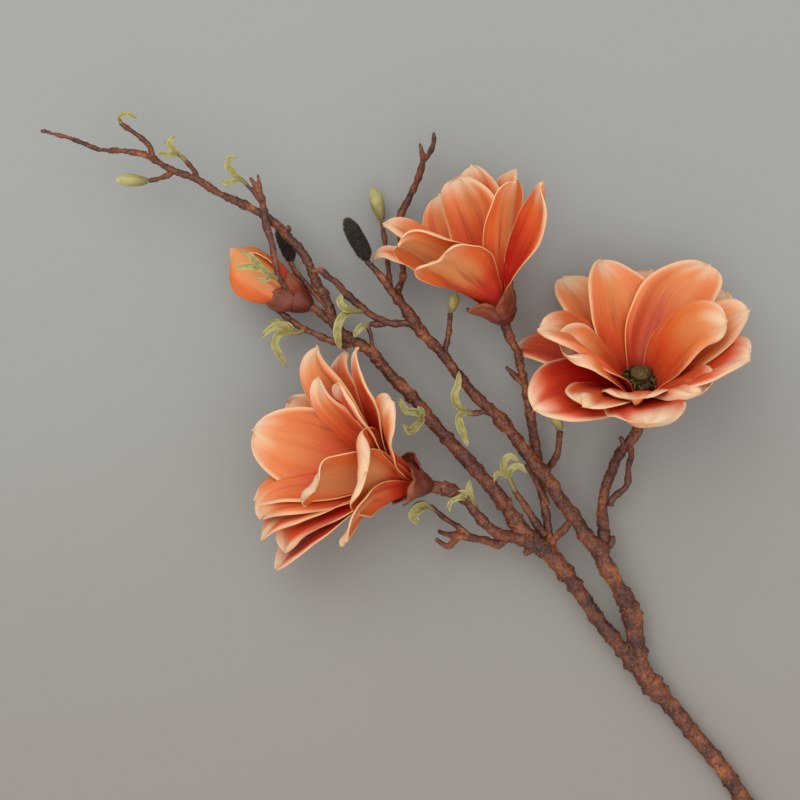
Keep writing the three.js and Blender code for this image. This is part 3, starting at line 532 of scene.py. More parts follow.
class Paint(Nodes):
    """A material's shader nodes."""

    def __init__(self, name: str, roughness: float) -> None:
        """Starts a material with a principled shader."""
        self.material = bpy.data.materials.new(name)
        self.material.use_nodes = True
        super().__init__(self.material.node_tree)
        self.shader = self.tree.nodes["Principled BSDF"]
        self.feed(self.shader, Roughness=roughness)

    def value(self, name: str) -> bpy.types.NodeSocket:
        """A point attribute's value."""
        return self.node("Attribute", {"attribute_name": name}).outputs["Fac"]

    def place(self) -> bpy.types.NodeSocket:
        """The place on the object, in its own metres."""
        return self.node("TexCoord").outputs["Object"]

    def ramp(self, factor: object, *stops: tuple[float, Colour]) -> bpy.types.Node:
        """A colour ramp.

        Args:
            factor: What drives it.
            stops: Places from 0 to 1 with display colours.

        Returns:
            The node.
        """
        made = self.node("ValToRGB", _0=factor)
        elements = made.color_ramp.elements
        while len(elements) < len(stops):
            elements.new(0.5)
        for element, (at, colour) in zip(elements, stops):
            element.position = at
            element.color = linear(*colour)
        return made

    def span(
        self, value: object, low: float, high: float, start: float = 0.0, end: object = 1.0
    ) -> bpy.types.Node:
        """A smooth step of a value from low to high, as start to end."""
        smooth = {"interpolation_type": "SMOOTHSTEP"}
        return self.node("MapRange", smooth, _0=value, _1=low, _2=high, _3=start, _4=end)

    def mix(self, factor: object, first: object, second: object) -> bpy.types.NodeSocket:
        """A mix of two colours, given as sources or display values."""
        first, second = (linear(*c) if isinstance(c, tuple) else c for c in (first, second))
        made = self.node("Mix", {"data_type": "RGBA"}, _0=factor, _6=first, _7=second)
        return made.outputs[2]

    def finish(
        self, colour: Source, grain: Source, depth: float, strength: float, **inputs: object
    ) -> bpy.types.Material:
        """Feeds the shader.

        Args:
            colour: Its colour.
            grain: What its fine bump follows.
            depth: The height of the bump in metres.
            strength: The strength of the bump.
            inputs: Its further inputs, as for feed.

        Returns:
            The material.
        """
        bump = self.node("Bump", Height=grain, Distance=depth, Strength=strength)
        self.feed(self.shader, Base_Color=colour, Normal=bump, **inputs)
        return self.material


@dataclass(frozen=True)
class PetalFinish:
    """Soft petals: deep red at the root, orange past it, cream at the tip and along the rim."""

    roughness: float = 0.52
    glow: float = 0.16
    glow_reach: float = 0.0022
    shine: float = 0.35
    red: Colour = (184, 22, 12)
    wine: Colour = (178, 44, 22)
    ember: Colour = (212, 76, 30)
    orange: Colour = (220, 108, 48)
    peach: Colour = (228, 132, 72)
    cream: Colour = (228, 190, 156)
    tan: Colour = (220, 146, 88)
    rim: Colour = (246, 172, 92)
    rim_line: Colour = (246, 184, 122)
    brick: Colour = (190, 42, 24)
    flame: Colour = (200, 62, 26)
    amber: Colour = (222, 98, 36)
    streak: Colour = (168, 40, 20)
    vein: Colour = (196, 78, 44)

    def build(self) -> bpy.types.Material:
        """Makes the material from the attributes along, across, rim, inner, petal and flush."""
        paint = Paint("petal_finish", self.roughness)
        span, times, mix = paint.span, paint.times, paint.mix
        along, across, rim, inner = (paint.value(n) for n in ("along", "across", "rim", "inner"))
        own = times(paint.value("petal"), 37.0)
        lines = paint.node("CombineXYZ", X=times(across, 3.4), Y=times(along, 0.9), Z=own)
        soft = paint.noise(paint.place(), 45.0, 3.0)
        streak = paint.noise(lines, 1.3, 2.5)
        broad = paint.noise(lines, 0.5, 1.5)
        vein = paint.noise(lines, 6.0, 3.0)
        side = times(across, across)
        # the place in the ramps wanders, so that the red runs out unevenly
        # flush moves the red up each petal: partly the petal's own red root, partly painted shade on petals
        # that lie in shade, and below 0 painted light on dark outer faces
        drift = paint.math("SUBTRACT", along, paint.value("flush"))
        drift = paint.wander(broad, 0.35, paint.wander(streak, 0.22, drift))
        inside = paint.ramp(
            drift,
            (0.04, self.red),
            (0.2, self.wine),
            (0.38, self.ember),
            (0.6, self.orange),
            (0.86, self.peach),
        )
        inside = mix(times(span(side, 0.3, 1.0, 0.0, 0.6), span(drift, 0.25, 0.65)), inside, self.peach)
        inside = mix(times(span(side, 0.0, 0.3, 0.4, 0.0), span(drift, 0.45, 0.7)), inside, self.tan)
        # outside, the middle is tan and the sides are a clearer orange that turns red to the root
        outside = paint.ramp(
            drift, (0.1, self.brick), (0.3, self.flame), (0.55, self.amber), (0.9, self.orange)
        )
        outside = mix(times(span(side, 0.0, 0.42, 0.8, 0.0), span(drift, 0.22, 0.5)), outside, self.tan)
        body = mix(inner, outside, inside)
        thin = times(span(streak, 0.5, 0.66, 0.0, 0.6), span(drift, 0.45, 0.9, 1.0, 0.0))
        body = mix(thin, body, self.streak)
        body = mix(span(vein, 0.5, 0.75, 0.0, 0.16), body, self.vein)
        body = mix(span(soft, 0.42, 0.75, 0.0, 0.16), body, self.peach)
        # the end and the rims are cream, in a band that widens to the end
        tip = paint.wander(broad, 0.3, along)
        most = paint.math("MULTIPLY_ADD", inner, 0.5, 0.4)
        body = mix(span(tip, 0.8, 1.0, 0.0, most), body, self.cream)
        reach = span(along, 0.3, 0.85)
        band = paint.math("DIVIDE", rim, paint.math("MULTIPLY_ADD", times(reach, inner), 3.2, 0.8))
        edge = times(span(band, 0.2, 1.0, 0.8, 0.0), span(along, 0.05, 0.35, 0.2, 1.0))
        pale = mix(times(reach, span(inner, 0.0, 1.0, 0.5, 1.0)), self.rim, self.cream)
        body = mix(edge, body, pale)
        line = times(span(rim, 0.45, 1.0, 0.65, 0.0), span(along, 0.12, 0.4))
        body = mix(line, body, self.rim_line)
        return paint.finish(
            body,
            vein,
            0.0006,
            0.3,
            Subsurface_Weight=self.glow,
            Subsurface_Radius=(1.0, 0.35, 0.15),
            Subsurface_Scale=self.glow_reach,
            Specular_IOR_Level=self.shine,
        )


@dataclass(frozen=True)
class BarkFinish:
    """Reddish-brown bark with darker patches, ochre lumps and lighter specks, glossier in places."""

    roughness: float = 0.5
    shadow: Colour = (52, 24, 15)
    brown: Colour = (94, 45, 25)
    russet: Colour = (130, 68, 34)
    ochre: Colour = (176, 106, 54)
    crack: Colour = (46, 22, 14)
    speck: Colour = (172, 104, 60)

    def build(self) -> bpy.types.Material:
        """Makes the material, which reads Object coordinates and the attribute speck."""
        paint = Paint("bark_finish", self.roughness)
        where = paint.place()
        patch = paint.noise(where, 75.0, 4.0, 0.6)
        grain = paint.noise(where, 420.0, 4.0, 0.7)
        body = paint.ramp(
            patch, (0.3, self.shadow), (0.46, self.brown), (0.6, self.russet), (0.74, self.ochre)
        )
        body = paint.mix(paint.span(grain, 0.46, 0.66, 0.0, 0.7), body, self.crack)
        body = paint.mix(paint.times(paint.value("speck"), 0.7), body, self.speck)
        shine = paint.span(grain, 0.35, 0.65, 0.34, 0.7)
        return paint.finish(body, grain, 0.0005, 0.6, Roughness=shine)


@dataclass(frozen=True)
class ShadedFinish:
    """A plain waxy or fuzzy finish that runs from one colour at the root to another at the tip."""

    name: str
    root: Colour
    middle: Colour
    tip: Colour
    dark: Colour
    roughness: float
    mottle: float
    grain: float
    glow: float = 0.0
    glow_reach: float = 0.0015

    def build(self) -> bpy.types.Material:
        """Makes the material, which reads the attribute along and Object coordinates."""
        paint = Paint(f"{self.name}_finish", self.roughness)
        cloud = paint.noise(paint.place(), self.grain, 4.0, 0.6)
        body = paint.ramp(paint.value("along"), (0.0, self.root), (0.45, self.middle), (1.0, self.tip))
        body = paint.mix(paint.times(paint.span(cloud, 0.45, 0.7), self.mottle), body, self.dark)
        return paint.finish(
            body, cloud, 0.0004, 0.35, Subsurface_Weight=self.glow, Subsurface_Scale=self.glow_reach
        )


class Finish(Enum):
    """The finishes of the branch, by material slot."""

    PETAL = PetalFinish()
    BARK = BarkFinish()
    CALYX = ShadedFinish(
        "calyx", (88, 30, 18), (132, 58, 30), (150, 80, 42), dark=(66, 18, 12),
        roughness=0.4, mottle=0.6, grain=70.0,
    )
    CENTRE = ShadedFinish(
        "centre", (44, 20, 14), (86, 70, 30), (132, 118, 52), dark=(40, 24, 12),
        roughness=0.6, mottle=0.5, grain=300.0,
    )
    CATKIN = ShadedFinish(
        "catkin", (62, 46, 38), (52, 43, 38), (74, 62, 52), dark=(28, 22, 20),
        roughness=0.85, mottle=0.6, grain=500.0,
    )
    LEAF = ShadedFinish(
        "leaf", (122, 104, 58), (158, 148, 84), (188, 180, 122), dark=(112, 96, 46),
        roughness=0.42, mottle=0.5, grain=160.0, glow=0.1,
    )

    @property
    def slot(self) -> str:
        """The record's material slot."""
        return self.name.lower()

    @property
    def material(self) -> bpy.types.Material:
        """The material, made when first asked for."""
        return bpy.data.materials.get(f"{self.slot}_finish") or self.value.build()


def hand_over(piece: bpy.types.Object, finish: Finish, *nodes: str) -> None:
    """Ties a finished piece to the frame and reports it.

    Args:
        piece: The finished object.
        finish: What it is dressed in; not used.
        nodes: The solids that it stands for.
    """
    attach(piece, BODY)
    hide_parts(*nodes)
    log.info("%s: %d faces", piece.name, len(piece.data.polygons))


# ---- petals ---------------------------------------------------------------------------------


@dataclass(frozen=True)
class BloomAxes:
    """A bloom's base, its axis, the side that looks up and the side a quarter turn from it."""

    base: Array
    along: Array
    zero: Array
    quarter: Array

    @classmethod
    def of(cls, base: tuple[float, ...], axis: tuple[float, ...]) -> "BloomAxes":
        """The directions of a bloom with this base and axis."""
        along = unit(np.array(axis, float))
        zero = unit(UP - along * UP.dot(along))
        return cls(np.array(base, float), along, zero, np.cross(along, zero))

    def point(self, height: float, distance: float = 0.0, turn: float = 0.0) -> Array:
        """A point by its height along the axis, its distance from it and its turn in degrees."""
        turn = math.radians(turn)
        across = distance * math.cos(turn)
        beside = distance * math.sin(turn)
        return self.base + self.along * height + self.zero * across + self.quarter * beside

    def spindle(self, heights: Array, radii: Array, sides: int) -> Shell:
        """A round body along the axis.

        Args:
            heights: Heights of its rings.
            radii: Their radii.
            sides: Vertices in a ring.

        Returns:
            The body.
        """
        return tube(np.array([self.point(h) for h in heights]), radii, sides)


@dataclass(frozen=True)
class Petal:
    """One petal or bract: its turn round the bloom's axis, how far it opens and its size.

    Belly bows it outwards, curl bends its tip back, face turns the whole blade about its midrib,
    and leans replace the four lean angles that open gives. Cup bends its sides up, roll turns its
    outer half back, ruffle waves its rim and frill its end, tip and hem roll its end and its
    margins outwards, fold is where the end starts to, skew moves its point to one side, flush is
    the further share of its length that is red, claw is the width of its foot as a share of the
    widest place, and point is larger for an end that is less broad. The red of flush is partly the
    petal's own red root and partly painted shade on petals that lie in shade; below 0 it is painted
    light on outer faces that the lamps leave dark.
    """

    turn: float
    open: float
    length: float
    width: float
    curl: float = 0.0
    face: float = 8.0
    root: float = 5.0
    drop: float = 0.0
    belly: float = 0.0
    leans: tuple[float, float, float, float] | None = None
    cup: float = 42.0
    roll: float = 46.0
    ruffle: float = 1.2
    tip: float = 22.0
    fold: float = 0.76
    hem: float = 40.0
    frill: float = 0.8
    flush: float = 0.0
    skew: float | None = None
    claw: float = 0.3
    widest: float = 0.62
    point: float = 0.6

    def midrib(self, axes: BloomAxes) -> tuple[Array, Array, Array]:
        """Points of the petal's middle line with the directions across it and into the bloom.

        Args:
            axes: The bloom's directions.

        Returns:
            Three arrays of one row for each point.
        """
        turn = math.radians(self.turn)
        radial = axes.zero * math.cos(turn) + axes.quarter * math.sin(turn)
        leans = self.leans or (
            0.35 * self.open - self.belly,
            0.95 * self.open + self.belly,
            self.open,
            self.open + self.curl,
        )
        s = np.linspace(0, 1, MIDRIB_STEPS + 1)[:, None]
        r = 1 - s
        lean = leans[0] * r**3 + 3 * leans[1] * r * r * s + 3 * leans[2] * r * s * s + leans[3] * s**3
        lean = np.radians(lean + self.tip * smoothstep(self.fold, 1.0, s))
        direction = radial * np.sin(lean) + axes.along * np.cos(lean)
        inward = -radial * np.cos(lean) + axes.along * np.sin(lean)
        start = axes.base + radial * self.root - axes.along * self.drop
        steps = np.cumsum(direction[:-1] * self.length / MIDRIB_STEPS, axis=0)
        spin = np.radians(self.face * np.minimum(1, 4 * s))
        return (start + np.vstack([np.zeros(3), steps]), *spun(np.cross(axes.along, radial), inward, spin))

    def outline(self, s: Array) -> Array:
        """Half the width at s, as a share of the widest: a narrow claw, a round end, a small point."""
        claw = self.claw + (1 - self.claw) * np.sin(math.pi / 2 * np.minimum(s / self.widest, 1)) ** 1.7
        past = np.clip((s - self.widest) / (1 - self.widest), 0, 1)
        rounded = (1 - np.clip(past / 0.965, 0, 1) ** 2.3) ** self.point
        cusp = 0.2 * (1 - past) ** 0.6
        return np.where(s < self.widest, claw, np.minimum(1, np.sqrt(rounded**2 + cusp**2)))

    def section(self, row: Array, edge: Array, sign: Array, phases: Array) -> tuple[Array, Array]:
        """The bent section of each row, for a half width of 1.

        Args:
            row: Shares of the petal's length.
            edge: Shares of the way from the midrib to the rim.
            sign: The side of the midrib, -1 or 1.
            phases: Drawn angles.

        Returns:
            How far each place lies from the midrib and how far into the bloom.
        """
        depth = np.radians(self.cup) * (1.15 - 0.45 * row) * (1 + 0.8 * smoothstep(0.84, 1.0, row))
        uneven = 1 + 0.45 * np.sin(6.5 * row + phases[5]) * sign + 0.2 * np.sin(15 * row + phases[6])
        hem = np.radians(self.hem) * uneven * smoothstep(0.28, 0.66, row)
        recurve = np.radians(self.roll) * row * row
        x, y = np.zeros_like(row * edge), np.zeros_like(row * edge)
        for k in range(SECTION_STEPS):
            u = edge * (k + 0.5) / SECTION_STEPS
            bend = depth * u - 2 * recurve * np.maximum(0, (u - 0.5) / 0.5) ** 2
            bend = bend - hem * smoothstep(0.66, 1.0, u)
            x += np.cos(bend) * edge / SECTION_STEPS
            y += np.sin(bend) * edge / SECTION_STEPS
        return x, y

    def waves(self, row: Array, t: Array, half: Array, phases: Array) -> Array:
        """The folds and waves of each place, in millimetres into the bloom.

        Args:
            row: Shares of the petal's length.
            t: Shares of its half width from -1 to 1.
            half: The half width of each row.
            phases: Drawn angles.

        Returns:
            The heights, rows by columns.
        """
        edge, sign = np.abs(t), np.sign(t)
        fade = smoothstep(0.0, 0.3, row) * (1 - 0.5 * row)
        outer = smoothstep(0.35, 0.7, row)
        end = self.frill * smoothstep(self.fold - 0.14, 1.0, row) ** 1.5
        ruffle = np.sin(2 * math.pi * (1.4 * row + 0.25 * sign) + self.turn * 0.37)
        lift = self.ruffle * edge**2 * row * ruffle
        lift = lift + fade * 0.8 * np.sin(t * half * 0.36 + phases[0] + 1.5 * row) * (1 - edge**4)
        lift = lift + fade * 0.28 * np.sin(t * 17 + phases[1] + 0.8 * np.sin(5 * row + phases[2]))
        lift = lift + 0.7 * edge**2 * outer * np.sin(9 * row + 2 * sign + phases[3])
        lift = lift + 0.35 * edge**3 * outer * np.sin(23 * row + sign + phases[4])
        return lift + end * np.sin(3.6 * t + phases[7]) + 0.45 * end * np.sin(8.2 * t + phases[2])

    def sheet(self, axes: BloomAxes, s: Array, t: Array, random: np.random.Generator) -> tuple[Array, Array]:
        """The petal's middle surface.

        Args:
            axes: The bloom's directions.
            s: Shares of its length, one for each row.
            t: Shares of its half width from -1 to 1, one for each column.
            random: Draws the small folds.

        Returns:
            Points as rows by columns by 3, and the half width of each row.
        """
        lines = self.midrib(axes)
        at = np.linspace(0, 1, len(lines[0]))
        centre, across, inward = (
            np.stack([np.interp(s, at, line[:, k]) for k in range(3)], axis=1)[:, None] for line in lines
        )
        across, inward = unit(across), unit(inward)
        row, t = s[:, None], t[None]
        half = self.width / 2 * self.outline(row)
        phases = random.uniform(0, 2 * math.pi, 8)
        x, y = self.section(row, np.abs(t), np.sign(t), phases)
        lift = self.waves(row, t, half, phases)
        notches = 0.35 * np.sin(5.2 * t + phases[4]) + 0.2 * np.sin(10.5 * t + phases[1])
        scallop = self.frill * self.outline(row) * smoothstep(0.7, 1.0, row) * notches
        skew = random.uniform(-0.16, 0.16) if self.skew is None else self.skew
        shift = skew * self.width * smoothstep(0.62, 1.0, row) ** 1.5
        points = (
            centre
            + across * (np.sign(t) * x * half + shift)[..., None]
            + inward * (y * half + lift)[..., None]
        )
        points = points + np.cross(across, inward) * scallop[..., None]
        return settle(points), np.broadcast_to(half, x.shape)

    def shell(self, axes: BloomAxes, seed: int, thickness: float = 0.62) -> Shell:
        """The petal as a closed sheet that thins to its rim, with a slight bead along it.

        Args:
            axes: The bloom's directions.
            seed: Seed of its small folds and its tone.
            thickness: Its thickness in the middle.

        Returns:
            The sheet with the attributes along, across, rim, inner, petal and flush.
        """
        random = np.random.default_rng(seed)
        tone = float(random.random())
        s = 1 - (1 - np.linspace(0, 1, PETAL_ROWS)) ** 1.35
        t = crossing(PETAL_COLUMNS, 1.5)
        points, half = self.sheet(axes, s, t, random)
        along, across = (np.broadcast_to(share, half.shape) for share in (s[:, None], t[None]))
        margin = (1 - np.abs(across)) * half
        distance = np.minimum(margin, (1 - along) * self.length)
        bead = 0.5 + 0.5 * np.exp(-(((distance - 0.7) / 0.7) ** 2))
        depth = thickness / 2 * bead * 1.25 * np.sqrt(np.clip(distance / 0.55, 0, 1))
        rim = np.minimum(margin, (1 - along) * self.length * 0.5)
        made, inside = closed_sheet(points, depth, along=along, across=across, rim=rim)
        made.vertices[:, 2] = np.maximum(made.vertices[:, 2], SURFACE_GAP)
        front = np.where(inside.reshape(-1), 1.0, 0.5)
        made.values["inner"] = np.concatenate([front, np.zeros(int(inside.sum()))])
        made.values["petal"] = np.full(len(made.vertices), tone)
        # flush carries the petal's own red root together with painted light and shade
        made.values["flush"] = np.full(len(made.vertices), self.flush)
        return made


def settle(points: Array) -> Array:
    """Bends what would sink into the floor smoothly flat onto it."""
    high = points[..., 2] - SURFACE_REST
    eased = np.where(high < -SURFACE_EASE, 0, (high + SURFACE_EASE) ** 2 / (4 * SURFACE_EASE))
    points[..., 2] = SURFACE_REST + np.where(high < SURFACE_EASE, eased, high)
    return points


def lobe(turn: float, open: float, length: float, width: float, shut: bool = False) -> Petal:
    """A short broad bract that lies along the petals, straighter on a shut bloom."""
    return Petal(
        turn, open, length, width, leans=(26, 18, 8, -2) if shut else None, belly=8, root=9.4, drop=4,
        cup=58, roll=0, tip=0, hem=0, frill=0, claw=0.8, widest=0.4,
    )


def shut_petal(turn: float, length: float, width: float, **shape: object) -> Petal:
    """A petal that closes over the middle of a shut bloom, with its further sizes."""
    return Petal(turn, 0, length, width, roll=0, tip=0, hem=0, frill=0, claw=0.8, widest=0.45, **shape)


@dataclass
class Bloom:
    """One bloom: its petals, its brown bracts and, if it is open, its centre."""

    name: str
    base: tuple[float, float, float]
    axis: tuple[float, float, float]
    petals: list[Petal]
    lobes: list[Petal]
    carpels: int = 0
    stamens: int = 0  # those that stand round the carpels where they show
    cup: float = 14.4  # depth of the cup of bracts below the base
    core: float = 9.0  # height of the lowest carpels
    bulb: float = 8.4  # radius of the swelling that the petals grow from

    def __post_init__(self) -> None:
        """Works out the bloom's directions."""
        self.axes = BloomAxes.of(self.base, self.axis)
        self.seed = sum(ord(c) for c in self.name)

    def make_petals(self) -> bpy.types.Object:
        """All the petals in one piece, over the swelling that they grow from."""
        heights = np.linspace(-self.bulb, self.bulb, 16)
        swell = np.sqrt(np.clip(1 - (heights / 8.5) ** 2, 0.02, 1)) * self.bulb
        whole = self.axes.spindle(heights, swell, 24)
        plain = {"along": 0.0, "across": 0.0, "inner": 0.0, "flush": 0.0, "rim": 9.0, "petal": 0.5}
        whole.values = {name: np.full(len(whole.vertices), value) for name, value in plain.items()}
        for i, petal in enumerate(self.petals):
            whole.add(petal.shell(self.axes, self.seed * 101 + i))
        return whole.build(f"bloom_{self.name}", Finish.PETAL.material)

    def make_calyx(self) -> bpy.types.Object:
        """The cup of bracts: a round base with leaf-like lobes that lie along the petals."""
        heights = np.array([-1, -0.97, -0.87, -0.69, -0.49, -0.28, -0.07, 0.14, 0.28, 0.35]) * self.cup
        radii = np.array([3.0, 3.8, 5.2, 6.9, 8.4, 9.5, 10.2, 10.4, 10.0, 8.8])
        fine = np.linspace(heights[0], heights[-1], 30)
        angle = np.arange(36) / 36 * 2 * math.pi
        ribs = 1 + 0.035 * np.sin(3 * angle + 0.7) + 0.02 * np.sin(7 * angle) + 0.012 * np.sin(17 * angle)
        whole = self.axes.spindle(fine, np.interp(fine, heights, radii)[:, None] * ribs[None], 36)
        whole.values["along"] = whole.values["along"] * 0.35
        for i, bract in enumerate(self.lobes):
            made = bract.shell(self.axes, self.seed * 7 + i, thickness=1.1)
            made.values = {"along": 0.2 + 0.8 * made.values["along"]}
            whole.add(made)
        return whole.build(f"bracts_{self.name}", Finish.CALYX.material)

    def make_centre(self) -> bpy.types.Object:
        """A cone of carpels that curl outwards, over a ring of stamens."""
        random = np.random.default_rng(self.seed)
        heights = np.linspace(self.core - 4, self.core + 19, 24)
        share = np.linspace(0, 1, 24)
        cone = 6.6 * np.sin(np.clip(share * 1.15 + 0.42, 0, math.pi / 1.03)) ** 0.7
        whole = self.axes.spindle(heights, cone, 20)
        whole.values["along"] = whole.values["along"] * 0.5
        point = self.axes.point
        for i in range(self.carpels):
            up = i / self.carpels
            turn = i * GOLDEN_TURN
            height = self.core + 1 + 16 * up
            girth = 6.4 * math.cos(0.2 + 1.15 * up)
            reach = girth + (1.8 if self.stamens else 0.6) + 0.8 * random.random()
            path = [
                (*point(height, girth * 0.7, turn), 0.95),
                (*point(height + 1.6, reach, turn), 0.85),
                (*point(height + 3.6, reach + 0.6, turn + 6), 0.5),
                (*point(height + 4.6, reach - 0.8, turn + 16), 0.16),
            ]
            whole.add(self.filament(path, 0.55 + 0.45 * up))
        for i in range(self.stamens):
            turn = i * GOLDEN_TURN
            reach = 9.8 + 2.2 * random.random()
            low = self.core + 1 + 5.0 * random.random()
            path = [
                (*point(low, 6.0, turn), 0.7),
                (*point(low + 4, reach - 1, turn + random.uniform(-8, 8)), 0.75),
                (*point(low + 8.5, reach, turn + random.uniform(-14, 14)), 0.8),
                (*point(low + 11, reach - 3.2, turn + random.uniform(-20, 20)), 0.3),
            ]
            whole.add(self.filament(path, 0.1 + 0.8 * random.random()))
        return whole.build(f"heart_{self.name}", Finish.CENTRE.material)

    @staticmethod
    def filament(path: Route, tone: float) -> Shell:
        """A thin curved thread, as dark or light as its tone from 0 to 1 at its tip."""
        thread = rod(path, 1.1, 6)
        thread.values["along"] = thread.values["along"] ** 1.5 * tone
        return thread

    def build(self) -> None:
        """Builds and hands over the bloom's pieces."""
        hand_over(self.make_petals(), Finish.PETAL, f"petals_{self.name}")
        hand_over(self.make_calyx(), Finish.CALYX, f"calyx_{self.name}")
        if self.carpels:
            hand_over(self.make_centre(), Finish.CENTRE, f"centre_{self.name}")


